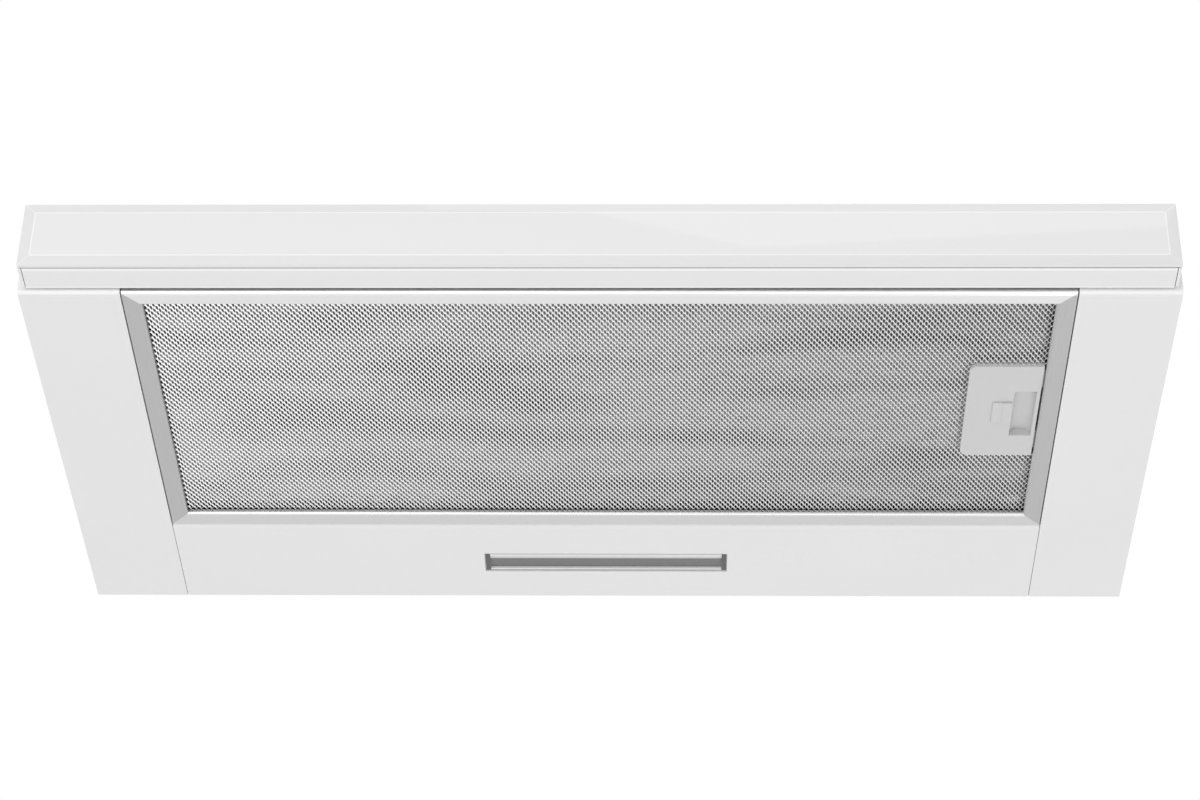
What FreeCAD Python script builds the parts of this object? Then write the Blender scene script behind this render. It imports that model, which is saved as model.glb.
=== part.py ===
import FreeCAD, Part
import math
import os
import types

import Sketcher
from FreeCAD import Placement, Rotation, Vector

# Built-in telescopic cooker hood for a 60 cm wall cabinet.
# Frame: +X to the right, the front faces -Y, +Z up.
# The origin lies under the middle of the closed hood, level with its underside.
# Lengths are in millimetres.

SIZES = {
    # Whole hood
    "housing_width": 600.0,
    "housing_depth": 288.0,
    "steel_sheet": 0.8,
    # Side covers and the rear panel of the underside
    "cover_width": 53.0,
    "cover_flange_height": 14.0,
    "cover_bend_radius": 3.0,
    "wall_foot_width": 10.0,
    "panel_depth": 74.7,
    "panel_bend_radius": 3.6,
    "panel_side_gap": 0.3,
    "panel_fold_drop": 1.0,
    "top_fold_gap": 3.2,
    # Screws that hang the hood under the cabinet
    "fixing_side_inset": 25.0,
    "fixing_front_inset": 28.0,
    "fixing_back_inset": 35.0,
    "fixing_hole_radius": 2.75,
    # Lamp
    "lamp_opening_width": 140.0,
    "lamp_opening_depth": 18.6,
    "lamp_opening_back_margin": 26.0,
    "lamp_frame_gap": 0.6,
    "lamp_lip_level": 0.5,
    "lamp_frame_height": 11.5,
    "lamp_front_lip": 3.4,
    "lamp_rear_lip": 1.4,
    "lamp_end_bar": 2.6,
    "lamp_lip_radius": 0.6,
    "diffuser_level": 2.2,
    "diffuser_thickness": 1.8,
    "diffuser_gap": 0.1,
    "led_board_level": 8.0,
    "led_board_thickness": 1.6,
    "led_side": 3.0,
    "led_height": 0.9,
    "led_pitch": 15.0,
    "led_count": 9,
    "lamp_cover_thickness": 1.0,
    "lamp_cover_flange": 6.0,
    # Filter of the underside
    "filter_side_gap": 0.7,
    "filter_front_gap": 0.4,
    "filter_panel_gap": 0.6,
    "filter_thickness": 10.0,
    "frame_strip_width": 10.0,
    "frame_wall": 1.0,
    "frame_lip_width": 2.0,
    "frame_lip_height": 3.0,
    "frame_lip_radius": 1.8,
    "frame_front_radius": 2.2,
    "mesh_thickness": 1.0,
    "mesh_clearance": 0.3,
    "hook_width": 22.0,
    "hook_reach": 6.5,
    "hook_root": 9.0,
    "hook_thickness": 0.8,
    "hook_inset_from_ends": 38.0,
    "hook_clearance": 0.3,
    "hinge_level": 1.0,
    "hinge_inset": 0.8,
    # Latch of that filter
    "latch_width": 39.2,
    "latch_right_clearance": 0.8,
    "latch_front_margin": 65.1,
    "latch_depth": 81.0,
    "latch_face_level": 1.6,
    "latch_top_clearance": 0.3,
    "latch_corner_radius": 4.5,
    "latch_tongue_level": 3.3,
    "latch_tongue_height": 3.5,
    "latch_tongue_reach": 8.6,
    "latch_tongue_width": 16.0,
    "latch_tongue_inset": 5.0,
    "well_right_margin": 1.9,
    "well_width": 11.9,
    "well_front_margin": 22.3,
    "well_length": 40.2,
    "well_depth": 4.9,
    "well_floor_radius": 3.8,
    "tab_gap_to_well": 0.3,
    "tab_length": 10.7,
    "tab_from_latch_front": 40.6,
    "tab_width": 18.2,
    "tab_level": 0.2,
    "tab_toe_level": 0.9,
    "tab_ridge_level": 0.55,
    "tab_ridge_share": 0.53,
    "tab_clearance": 0.2,
    "slider_stem_inset": 5.6,
    "slider_stem_length": 4.0,
    "slider_stem_width": 9.4,
    "slider_bar_level": 7.3,
    "slider_bar_thickness": 1.3,
    "slider_bar_width": 12.0,
    "slider_clearance": 0.3,
    "latch_travel": 5.0,
    "bolt_end_gap": 0.3,
    "catch_slot_height": 2.4,
    "spring_room": 1.75,
    "spring_strip": 0.4,
    "spring_width": 8.0,
    # Ball slides
    "slide_thickness": 12.7,
    "slide_height": 35.0,
    "slide_wall": 1.2,
    "slide_front_inset": 2.0,
    "slide_back_inset": 11.0,
    "slide_flange_back": 9.6,
    "slide_lip_height": 4.0,
    "ball_radius": 1.6,
    "ball_play": 0.2,
    "ball_from_wall": 6.6,
    "ball_groove_depth": 0.3,
    "ball_facets": 8,
    "cage_thickness": 0.5,
    "cage_from_wall": 3.4,
    "cage_length": 75.0,
    "cage_front_inset": 100.0,
    "cage_ball_count": 5,
    "cage_end_margin": 5.5,
    # Drawer
    "drawer_sheet": 1.0,
    "drawer_floor_gap": 5.2,
    "drawer_side_height": 28.0,
    "drawer_side_foot": 12.0,
    "drawer_side_tab": 20.0,
    "drawer_top_gap": 11.2,
    "drawer_back_gap": 13.0,
    "channel_depth": 26.0,
    "channel_drop": 1.0,
    "pan_depth": 57.5,
    "pan_back_height": 24.0,
    "drawer_filter_gap": 0.5,
    "drawer_filter_side_inset": 2.0,
    "drawer_filter_thickness": 9.0,
    "drawer_filter_pan_gap": 0.7,
    "buffer_radius": 6.0,
    "buffer_gap": 0.3,
    "buffer_side_inset": 106.5,
    # Front of the drawer
    "rail_gap": 2.9,
    "rail_depth": 15.8,
    "rail_level": 1.3,
    "rail_height": 39.1,
    "rail_bend_radius": 2.2,
    "rail_lip_height": 11.0,
    "tape_thickness": 0.7,
    "tape_height": 9.0,
    "tape_inset": 3.0,
    "tape_end_inset": 12.0,
    "glass_side_inset": 3.0,
    "glass_height": 40.0,
    "glass_level": 1.2,
    "glass_thickness": 3.0,
    "bevel_width": 6.0,
    "bevel_depth": 0.7,
    "cap_thickness": 1.6,
    "cap_joint": 0.4,
    "cap_plug_length": 8.0,
    "cap_plug_gap": 0.3,
    "cap_plug_wall": 1.4,
    "cap_radius": 1.2,
    # Controls behind the glass
    "key_count": 5,
    "key_pitch": 20.0,
    "key_side_inset": 76.5,
    "key_length": 14.0,
    "key_width": 9.0,
    "key_gap": 0.3,
    "key_proud": 1.4,
    "key_skirt": 6.2,
    "key_travel": 1.2,
    "key_edge_radius": 0.8,
    "key_row_from_housing": 12.0,
    "module_margin": 6.0,
    "module_wall": 2.0,
    "module_height": 13.0,
    # Motor box on top
    "box_width": 470.0,
    "box_height": 84.0,
    "box_rear_inset": 1.0,
    "box_tab": 16.0,
    "bead_depth": 1.6,
    "bead_slope": 1.2,
    "bead_margin": 18.0,
    "bead_collar_gap": 12.0,
    "screw_head_radius": 3.6,
    "screw_head_height": 2.4,
    # Duct collar and its flaps
    "collar_radius": 60.0,
    "collar_wall": 1.8,
    "collar_height": 38.0,
    "collar_back_inset": 82.0,
    "collar_flange_width": 14.0,
    "collar_flange_thickness": 2.0,
    "collar_shoulder_width": 4.0,
    "collar_shoulder_height": 5.0,
    "collar_hole_clearance": 1.5,
    "flap_rise": 12.0,
    "flap_thickness": 1.2,
    "flap_edge_gap": 0.8,
    "flap_from_pin": 3.3,
    "flap_knuckle_radius": 2.4,
    "flap_pin_radius": 1.2,
    "flap_pin_play": 0.1,
    "flap_knuckle_length": 18.0,
    "flap_knuckle_gap": 0.6,
    "flap_seat_height": 1.5,
    "flap_seat_width": 2.2,
    "flap_seat_gap": 0.3,
    "pin_seat_radius": 3.2,
    "pin_seat_length": 6.0,
    # Blower
    "impeller_radius": 64.0,
    "blade_depth": 12.0,
    "blade_curve_radius": 10.0,
    "blade_thickness": 1.2,
    "blade_lead_angle": 11.0,
    "blade_count": 32,
    "impeller_floor_gap": 6.0,
    "impeller_roof_gap": 8.0,
    "impeller_ring_width": 3.4,
    "impeller_ring_height": 4.0,
    "impeller_disc": 2.0,
    "hub_cup_depth": 40.0,
    "hub_cup_gap": 7.0,
    "hub_taper": 8.0,
    "hub_wall": 2.0,
    "hub_boss_radius": 9.0,
    "hub_boss_height": 5.0,
    "shaft_radius": 4.0,
    "shaft_play": 0.05,
    "shaft_stub": 3.0,
    "shaft_in_motor": 35.0,
    "volute_gap": 5.0,
    "volute_growth": 10.0,
    "volute_wall": 2.0,
    "volute_box_gap": 3.2,
    "volute_front_gap": 2.2,
    "volute_roof_gap": 8.0,
    "volute_tongue": 9.0,
    "outlet_margin": 5.0,
    "outlet_neck_inset": 3.0,
    "inlet_inset": 2.0,
    "inlet_flare": 8.0,
    "inlet_bell_drop": 7.0,
    "inlet_lip_rise": 5.0,
    "inlet_hole_clearance": 0.3,
    "guard_ring_width": 2.0,
    "guard_height": 2.4,
    "guard_ring_count": 3,
    "guard_spoke_count": 6,
    "guard_spoke_width": 2.2,
    "motor_radius": 31.0,
    "motor_hub_gap": 5.0,
    "motor_shoulder": 5.0,
    "motor_neck_radius": 12.0,
    "motor_neck_height": 2.0,
    "motor_flange_width": 3.0,
    "motor_flange_thickness": 1.5,
    "bracket_width": 16.0,
    "bracket_thickness": 1.2,
    "bush_radius": 5.0,
    "bush_height": 3.0,
    "bush_from_motor": 9.5,
    # Electrical parts in the motor box
    "capacitor_radius": 15.0,
    "capacitor_length": 52.0,
    "capacitor_gap": 17.0,
    "capacitor_front_gap": 24.0,
    "terminal_box_gap": 17.0,
    "terminal_box_depth": 76.0,
    "terminal_box_height": 36.0,
    "terminal_box_wall": 2.0,
    "terminal_box_side_gap": 21.0,
    "terminal_box_back_gap": 17.0,
    "driver_gap": 19.0,
    "driver_depth": 44.0,
    "driver_height": 22.0,
    "driver_side_gap": 31.0,
    "driver_front_gap": 20.0,
    "driver_edge_radius": 2.0,
    "gland_side_inset": 55.0,
    "gland_back_inset": 55.0,
    "gland_radius": 9.0,
    "gland_bore_radius": 3.6,
    "gland_height": 11.0,
    "gland_nut_height": 5.0,
    "gland_stem_radius": 6.0,
}

# Geometry closer than this is taken to lie in the same place
NEAR = 1e-4


class Size:
    """A length that keeps its formula, so that sums of sizes stay bound to the sheet."""

    def __init__(self, text, value):
        self.text = text
        self.value = value

    def joined(self, sign, other, value):
        return Size("(%s %s %s)" % (self.text, sign, other.text), value)

    def __add__(self, other):
        other = as_size(other)
        return self.joined("+", other, self.value + other.value)

    def __sub__(self, other):
        other = as_size(other)
        return self.joined("-", other, self.value - other.value)

    def __mul__(self, other):
        other = as_size(other)
        return self.joined("*", other, self.value * other.value)

    def __truediv__(self, other):
        other = as_size(other)
        return self.joined("/", other, self.value / other.value)

    def __radd__(self, other):
        return as_size(other) + self

    def __rsub__(self, other):
        return as_size(other) - self

    def __rmul__(self, other):
        return as_size(other) * self

    def __neg__(self):
        return Size("(-%s)" % self.text, -self.value)


def as_size(number):
    return number if isinstance(number, Size) else Size("(%r)" % number, float(number))


ZERO = as_size(0)


def load_sizes(doc, values):
    """Writes the sheet, one named cell a row, and returns the cells as sizes."""
    sheet = doc.addObject("Spreadsheet::Sheet", "Sizes")
    cells = {}
    for row, (name, value) in enumerate(values.items(), start=1):
        sheet.set("A%d" % row, name)
        sheet.set("B%d" % row, repr(value))
        sheet.setAlias("B%d" % row, name)
        cells[name] = Size("Sizes." + name, value)
    doc.recompute()
    return types.SimpleNamespace(**cells)


doc = FreeCAD.newDocument("cooker_hood")
s = load_sizes(doc, SIZES)
sub_parts = []


# Helpers that bind features to the sheet


def bind(feature, name, size):
    feature.setExpression(name, as_size(size).text)


def new_body(label):
    body = doc.addObject("PartDesign::Body", label)
    body.Label = label
    sub_parts.append(body)
    return body


def pin_point(sketch, geometry, point, x, y):
    """Ties a point of a sketch to its place from the sketch's origin."""
    for kind, size in (("DistanceX", as_size(x)), ("DistanceY", as_size(y))):
        number = sketch.addConstraint(
            Sketcher.Constraint(kind, -1, 1, geometry, point, size.value))
        sketch.setExpression("Constraints[%d]" % number, size.text)


def draw_polygon(sketch, points):
    first = sketch.GeometryCount
    flat = [Vector(as_size(x).value, as_size(y).value, 0) for x, y in points]
    count = len(flat)
    for number in range(count):
        line = Part.LineSegment(flat[number], flat[(number + 1) % count])
        sketch.addGeometry(line, False)
    for number in range(count):
        after = first + (number + 1) % count
        sketch.addConstraint(Sketcher.Constraint("Coincident", first + number, 2, after, 1))
    for number, (x, y) in enumerate(points):
        pin_point(sketch, first + number, 1, x, y)


def draw_circle(sketch, x, y, radius):
    middle = Vector(as_size(x).value, as_size(y).value, 0)
    circle = sketch.addGeometry(Part.Circle(middle, Vector(0, 0, 1), radius.value), False)
    pin_point(sketch, circle, 3, x, y)
    number = sketch.addConstraint(Sketcher.Constraint("Radius", circle, radius.value))
    sketch.setExpression("Constraints[%d]" % number, radius.text)


def draw(body, role, loops, at):
    """A sketch on an origin plane of its body; a loop is a list of points or (x, y, radius)."""
    plane = next(item for item in body.Origin.OriginFeatures if item.Role == role)
    sketch = body.newObject("Sketcher::SketchObject", "Sketch")
    sketch.AttachmentSupport = [(plane, "")]
    sketch.MapMode = "FlatFace"
    # The normal of the XZ plane points along -Y
    bind(sketch, "AttachmentOffset.Base.z", -as_size(at) if role == "XZ_Plane" else at)
    for loop in loops:
        if isinstance(loop, tuple):
            draw_circle(sketch, *loop)
        else:
            draw_polygon(sketch, loop)
    return sketch


def add(body, role, loops, low, high):
    """Pads loops between two places on the axis across their plane."""
    sketch = draw(body, role, loops, high if role == "XZ_Plane" else low)
    pad = body.newObject("PartDesign::Pad", "Pad")
    pad.Profile = sketch
    bind(pad, "Length", as_size(high) - low)
    doc.recompute()
    return pad


def cut(body, role, loops, low, high):
    """Pockets loops between two places on the axis across their plane."""
    volume = body.Shape.Volume
    sketch = draw(body, role, loops, low if role == "XZ_Plane" else high)
    pocket = body.newObject("PartDesign::Pocket", "Pocket")
    pocket.Profile = sketch
    bind(pocket, "Length", as_size(high) - low)
    doc.recompute()
    if body.Shape.Volume > volume - NEAR:
        raise RuntimeError("a pocket in %s cuts nothing" % body.Label)
    return pocket


def turn(body, points):
    """Revolves an outline, given as (radius, height), about the body's own Z axis."""
    sketch = draw(body, "XZ_Plane", [points], ZERO)
    revolution = body.newObject("PartDesign::Revolution", "Revolution")
    revolution.Profile = sketch
    revolution.ReferenceAxis = (sketch, ["V_Axis"])
    revolution.Angle = 360.0
    doc.recompute()
    return revolution


def matches(box, place):
    for axis, size in place.items():
        low = getattr(box, axis.upper() + "Min")
        high = getattr(box, axis.upper() + "Max")
        wanted = as_size(size).value
        if abs(low - wanted) > NEAR or abs(high - wanted) > NEAR:
            return False
    return True


def names_at(kind, shapes, places):
    return ["%s%d" % (kind, number) for number, shape in enumerate(shapes, start=1)
            if any(matches(shape.BoundBox, place) for place in places)]


def round_edges(body, radius, *places):
    """Fillets the edges that lie at the given places, such as {"y": front, "z": 0}."""
    names = names_at("Edge", body.Tip.Shape.Edges, places)
    if not names:
        raise RuntimeError("no edge to round in %s" % body.Label)
    fillet = body.newObject("PartDesign::Fillet", "Fillet")
    fillet.Base = (body.Group[-2], names)
    bind(fillet, "Radius", radius)
    doc.recompute()


def hollow(body, thickness, *places):
    """Turns a block into folded sheet that is open at the faces at the given places."""
    names = names_at("Face", body.Tip.Shape.Faces, places)
    if not names:
        raise RuntimeError("no face to open in %s" % body.Label)
    shell = body.newObject("PartDesign::Thickness", "Thickness")
    shell.Base = (body.Group[-2], names)
    shell.Reversed = True
    bind(shell, "Value", thickness)
    doc.recompute()


def rectangle(x_low, x_high, y_low, y_high):
    return [(x_low, y_low), (x_high, y_low), (x_high, y_high), (x_low, y_high)]


def place(feature, x=ZERO, y=ZERO, z=ZERO):
    bind(feature, "Placement.Base.x", x)
    bind(feature, "Placement.Base.y", y)
    bind(feature, "Placement.Base.z", z)


def box(name, x_low, x_high, y_low, y_high, z_low, z_high):
    block = doc.addObject("Part::Box", name)
    bind(block, "Length", as_size(x_high) - x_low)
    bind(block, "Width", as_size(y_high) - y_low)
    bind(block, "Height", as_size(z_high) - z_low)
    place(block, x_low, y_low, z_low)
    return block


def cylinder(name, radius, x, y, z_low, z_high):
    rod = doc.addObject("Part::Cylinder", name)
    bind(rod, "Radius", radius)
    bind(rod, "Height", as_size(z_high) - z_low)
    place(rod, x, y, z_low)
    return rod


def fuse(name, shapes):
    joined = doc.addObject("Part::MultiFuse", name)
    joined.Shapes = shapes
    return joined


def group(label, shapes):
    """Separate solids of one kind that share a node."""
    together = doc.addObject("Part::Compound", label)
    together.Links = shapes
    return keep(together, label)


def subtract(name, base, tool):
    result = doc.addObject("Part::Cut", name)
    result.Base = base
    result.Tool = tool
    return result


def keep(feature, label):
    feature.Label = label
    sub_parts.append(feature)
    return feature


def fixed(label, shape, x, y):
    """A sub-part whose shape comes from the sheet's values through plain geometry."""
    feature = doc.addObject("Part::Feature", label)
    feature.Shape = shape
    place(feature, x, y)
    return keep(feature, label)


# Places that several pieces share

half = s.housing_width / 2
glass_reach = s.rail_gap + s.rail_depth + s.tape_thickness + s.glass_thickness
front = (glass_reach - s.housing_depth) / 2
back = front + s.housing_depth
cover_inner = half - s.cover_width
wall_inner = half - s.steel_sheet
drawer_half = wall_inner - s.slide_thickness
glass_half = half - s.glass_side_inset
rail_back = front - s.rail_gap
rail_front = rail_back - s.rail_depth
rail_top = s.rail_level + s.rail_height
glass_back = rail_front - s.tape_thickness
drawer_back = back - s.drawer_back_gap
panel_front = back - s.panel_depth

# Levels, from the underside up
drawer_floor = s.filter_thickness + s.hook_thickness + s.drawer_floor_gap
drawer_top = drawer_floor + s.drawer_side_height
channel_top = drawer_top - s.channel_drop
slide_level = drawer_floor + s.drawer_side_height / 2
plate_under = drawer_top + s.drawer_top_gap
plate_top = plate_under + s.steel_sheet
box_top = plate_top + s.box_height
hood_top = box_top + s.collar_height
collar_foot = box_top + s.collar_shoulder_height
flap_level = box_top + s.flap_rise
volute_roof = box_top - s.volute_roof_gap
impeller_top = volute_roof - s.impeller_roof_gap
impeller_bottom = plate_top + s.impeller_floor_gap
hub_floor = impeller_top - s.hub_cup_depth
boss_bottom = hub_floor - s.hub_boss_height
motor_bottom = hub_floor + s.hub_wall + s.motor_hub_gap
shaft_top = motor_bottom + s.shaft_in_motor

# The blower sits in the left rear corner of the motor box, which is made to fit round it
box_half = s.box_width / 2
box_back = back - s.box_rear_inset
volute_start = s.impeller_radius + s.volute_gap
volute_room = s.steel_sheet + s.volute_wall
blower_x = volute_start + s.volute_growth * 2 + volute_room + s.volute_box_gap - box_half
blower_y = box_back - volute_room - s.volute_box_gap - volute_start - s.volute_growth
box_front = blower_y - volute_start - s.volute_growth * 3 - volute_room - s.volute_front_gap
collar_y = box_back - s.collar_back_inset
bore_radius = s.collar_radius - s.collar_wall
neck_radius = s.collar_radius - s.outlet_neck_inset
inlet_radius = s.impeller_radius - s.blade_depth - s.inlet_inset
bell_radius = inlet_radius + s.inlet_flare


# Housing


def top_plate():
    """Flat top of the lower box, folded down at the front, with the blower's inlet hole."""
    body = new_body("top_plate")
    add(body, "XY_Plane", [rectangle(-half, half, front, back)], plate_under, plate_top)
    add(body, "XY_Plane", [rectangle(-wall_inner, wall_inner, front, front + s.steel_sheet)],
        drawer_top + s.top_fold_gap, plate_under)
    near_row = front + s.fixing_front_inset
    far_row = back - s.fixing_back_inset
    across = half - s.fixing_side_inset
    holes = [(side * across, row, s.fixing_hole_radius)
             for side in (-1, 1) for row in (near_row, far_row)]
    inlet = (blower_x, blower_y, bell_radius + s.inlet_hole_clearance)
    cut(body, "XY_Plane", holes + [inlet], plate_under, plate_top)


def side_wall(name, side):
    """Side of the lower box, with a foot that is screwed to the cover below it."""
    body = new_body(name)
    low = s.steel_sheet
    high = plate_under
    foot = wall_inner - s.wall_foot_width
    profile = [(side * half, low), (side * half, high), (side * wall_inner, high),
               (side * wall_inner, low + s.steel_sheet), (side * foot, low + s.steel_sheet),
               (side * foot, low)]
    add(body, "XZ_Plane", [profile], front + s.steel_sheet, back - s.steel_sheet)
    # The corner gives way to the bend of the cover
    ends = sorted((side * half, side * foot), key=lambda size: size.value)
    bend = rectangle(front + s.steel_sheet, front + s.cover_bend_radius, low, s.cover_bend_radius)
    cut(body, "YZ_Plane", [bend], ends[0], ends[1])


def rear_wall():
    body = new_body("rear_wall")
    add(body, "XZ_Plane",
        [rectangle(-half, half, s.steel_sheet, plate_under)],
        back - s.steel_sheet, back)


def side_cover(name, side):
    """Folded panel beside the filter, with a soft bend along its front."""
    body = new_body(name)
    outline = rectangle(cover_inner * side, half * side, front, back)
    add(body, "XY_Plane", [outline], ZERO, s.cover_flange_height)
    round_edges(body, s.cover_bend_radius, {"y": front, "z": ZERO})
    hollow(body, s.steel_sheet, {"z": s.cover_flange_height}, {"y": back}, {"x": half * side})
    web = sorted((cover_inner * side, (cover_inner + s.steel_sheet) * side),
                 key=lambda size: size.value)
    # The rear wall stands on the floor of the cover, behind its web
    cut(body, "XY_Plane", [rectangle(web[0], web[1], back - s.steel_sheet, back)],
        s.steel_sheet, s.cover_flange_height)
    if side < 0:
        # Notches that the filter's hooks lie in
        low = s.filter_thickness - s.hook_clearance
        for middle in hook_middles():
            reach = s.hook_width / 2 + s.hook_clearance
            notch = rectangle(web[0], web[1], middle - reach, middle + reach)
            cut(body, "XY_Plane", [notch], low, s.cover_flange_height)
    else:
        # Slot that the filter's bolt springs into
        reach = s.slider_bar_width / 2 + s.slider_clearance * 2
        low = s.slider_bar_level - s.slider_clearance
        slot = rectangle(tab_y - reach, tab_y + reach, low, low + s.catch_slot_height)
        cut(body, "YZ_Plane", [slot], web[0], web[1])


def lamp_panel():
    """Rear panel of the underside, with a bend towards the filter and the lamp's opening."""
    body = new_body("lamp_panel")
    width = cover_inner - s.panel_side_gap
    y_low = panel_front
    high = s.cover_flange_height - s.panel_fold_drop
    add(body, "XY_Plane", [rectangle(-width, width, y_low, back)], ZERO, high)
    round_edges(body, s.panel_bend_radius, {"y": y_low, "z": ZERO})
    hollow(body, s.steel_sheet, {"z": high}, {"y": back}, {"x": width}, {"x": -width})
    opening = back - s.lamp_opening_back_margin
    cut(body, "XY_Plane",
        [rectangle(-s.lamp_opening_width / 2, s.lamp_opening_width / 2,
                   opening - s.lamp_opening_depth, opening)], ZERO, s.steel_sheet)


# Filter of the underside and its latch

filter_half = cover_inner - s.filter_side_gap
filter_front = front + s.filter_front_gap
filter_back = panel_front - s.filter_panel_gap
mesh_level = s.frame_lip_height
pack_top = s.filter_thickness - s.frame_wall - s.mesh_clearance
latch_front = filter_front + s.latch_front_margin
latch_back = latch_front + s.latch_depth
latch_right = filter_half - s.frame_strip_width - s.latch_right_clearance
latch_left = latch_right - s.latch_width
well_left = latch_right - s.well_right_margin - s.well_width
tab_right = well_left - s.tab_gap_to_well
tab_left = tab_right - s.tab_length
stem_left = tab_left + s.slider_stem_inset
tab_y = latch_front + s.tab_from_latch_front


def hook_middles():
    return (filter_front + s.hook_inset_from_ends, filter_back - s.hook_inset_from_ends)


def framed(body, half_width, y_low, y_high, z_low, thickness):
    """Roll-formed channel frame: flat strip, curled inner lip, top flange."""
    strip = s.frame_strip_width
    wall = s.frame_wall
    lip = strip - s.frame_lip_width
    top = z_low + thickness
    add(body, "XY_Plane", [rectangle(-half_width, half_width, y_low, y_high)], z_low, top)
    inner = half_width - strip
    cut(body, "XY_Plane", [rectangle(-inner, inner, y_low + strip, y_high - strip)], z_low, top)
    round_edges(body, s.frame_lip_radius,
                {"x": inner, "z": z_low}, {"x": -inner, "z": z_low},
                {"y": y_low + strip, "z": z_low}, {"y": y_high - strip, "z": z_low})
    round_edges(body, s.frame_front_radius, {"y": y_low, "z": z_low})
    outer_loop = rectangle(-(half_width - wall), half_width - wall, y_low + wall, y_high - wall)
    lip_loop = rectangle(-(half_width - lip), half_width - lip, y_low + lip, y_high - lip)
    cut(body, "XY_Plane", [outer_loop, lip_loop], z_low + wall, top - wall)
    cut(body, "XY_Plane", [lip_loop], z_low + s.frame_lip_height, top - wall)


def filter_frame():
    body = new_body("filter_frame")
    framed(body, filter_half, filter_front, filter_back, ZERO, s.filter_thickness)
    reach = s.slider_bar_width / 2 + s.slider_clearance
    low = s.slider_bar_level - s.slider_clearance
    high = s.slider_bar_level + s.slider_bar_thickness + s.slider_clearance
    cut(body, "YZ_Plane", [rectangle(tab_y - reach, tab_y + reach, low, high)],
        filter_half - s.frame_wall, filter_half)


def filter_layer(name, low, high):
    """A layer of the mesh pack, cut out round the latch."""
    body = new_body(name)
    edge = s.frame_wall + s.mesh_clearance
    right = filter_half - edge
    notch_left = latch_left - s.mesh_clearance
    notch_front = latch_front - s.mesh_clearance
    notch_back = latch_back + s.mesh_clearance
    outline = [(-right, filter_front + edge), (right, filter_front + edge), (right, notch_front),
               (notch_left, notch_front), (notch_left, notch_back), (right, notch_back),
               (right, filter_back - edge), (-right, filter_back - edge)]
    add(body, "XY_Plane", [outline], low, high)


def filter_hooks():
    """Two steel tongues riveted on the frame's left side, which the filter swings on."""
    hooks = []
    for middle in hook_middles():
        hook = box("Hook", -filter_half - s.hook_reach, -filter_half + s.hook_root,
                   middle - s.hook_width / 2, middle + s.hook_width / 2,
                   s.filter_thickness, s.filter_thickness + s.hook_thickness)
        hooks.append(hook)
    group("filter_hooks", hooks)


def latch_plate():
    """Moulded plate with the finger well and the guide of the sliding bolt."""
    body = new_body("latch_plate")
    low = s.latch_face_level
    high = s.filter_thickness - s.frame_wall - s.latch_top_clearance
    add(body, "XY_Plane", [rectangle(latch_left, latch_right, latch_front, latch_back)], low, high)
    round_edges(body, s.latch_corner_radius, {"x": latch_left, "y": latch_front},
                {"x": latch_left, "y": latch_back})
    tongue_top = s.latch_tongue_level + s.latch_tongue_height
    tongue_right = latch_right + s.latch_tongue_reach
    near = latch_front + s.latch_tongue_inset
    far = latch_back - s.latch_tongue_inset
    add(body, "XY_Plane",
        [rectangle(latch_right, tongue_right, near, near + s.latch_tongue_width),
         rectangle(latch_right, tongue_right, far - s.latch_tongue_width, far)],
        s.latch_tongue_level, tongue_top)
    # Finger well: a pocket with a rounded floor
    well_right = well_left + s.well_width
    well_front = latch_front + s.well_front_margin
    well_floor = low + s.well_depth
    cut(body, "XY_Plane",
        [rectangle(well_left, well_right, well_front, well_front + s.well_length)],
        low, well_floor)
    round_edges(body, s.well_floor_radius, {"x": well_left, "z": well_floor},
                {"x": well_right, "z": well_floor})
    # Channel of the bolt, open at the top, and the slot of its stem
    reach = s.slider_bar_width / 2 + s.slider_clearance
    channel_left = stem_left - s.latch_travel - s.spring_room
    floor = s.slider_bar_level - s.tab_clearance
    cut(body, "XY_Plane", [rectangle(channel_left, latch_right, tab_y - reach, tab_y + reach)],
        floor, high)
    slot_left = stem_left - s.latch_travel - s.slider_clearance
    slot_right = stem_left + s.slider_stem_length + s.slider_clearance
    slot_reach = s.slider_stem_width / 2 + s.slider_clearance
    cut(body, "XY_Plane",
        [rectangle(slot_left, slot_right, tab_y - slot_reach, tab_y + slot_reach)], low, floor)


def latch_slider():
    """Finger tab, stem and bolt in one moulding."""
    body = new_body("latch_slider")
    bar_top = s.slider_bar_level + s.slider_bar_thickness
    bolt_tip = cover_inner - s.bolt_end_gap
    reach = s.slider_bar_width / 2
    add(body, "XY_Plane", [rectangle(stem_left, bolt_tip, tab_y - reach, tab_y + reach)],
        s.slider_bar_level, bar_top)
    tab_top = s.latch_face_level - s.tab_clearance
    reach = s.slider_stem_width / 2
    stem_right = stem_left + s.slider_stem_length
    add(body, "XY_Plane", [rectangle(stem_left, stem_right, tab_y - reach, tab_y + reach)],
        tab_top, s.slider_bar_level)
    ridge = tab_left + s.tab_length * s.tab_ridge_share
    wedge = [(tab_left, tab_top), (tab_left, s.tab_toe_level), (ridge, s.tab_ridge_level),
             (ridge, s.tab_level), (tab_right, s.tab_level), (tab_right, tab_top)]
    add(body, "XZ_Plane", [wedge], tab_y - s.tab_width / 2, tab_y + s.tab_width / 2)


def latch_spring():
    """Folded strip that pushes the bolt out."""
    body = new_body("latch_spring")
    right = stem_left - s.slider_clearance
    left = stem_left - s.latch_travel - s.spring_room + s.slider_clearance
    strip = s.spring_strip
    low = tab_y - s.spring_width / 2
    high = tab_y + s.spring_width / 2
    third = (right - left - strip) / 3
    points = [(left, low), (left + strip, low), (left + third, high - strip * 2),
              (left + third * 2, low), (left + third * 2 + strip, low),
              (right, high), (right - strip, high), (left + third * 2 + strip / 2, low + strip * 2),
              (left + third + strip / 2, high), (left + third - strip / 2, high)]
    level = s.slider_bar_level
    add(body, "XY_Plane", [points], level, level + s.slider_bar_thickness)


# Lamp

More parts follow.
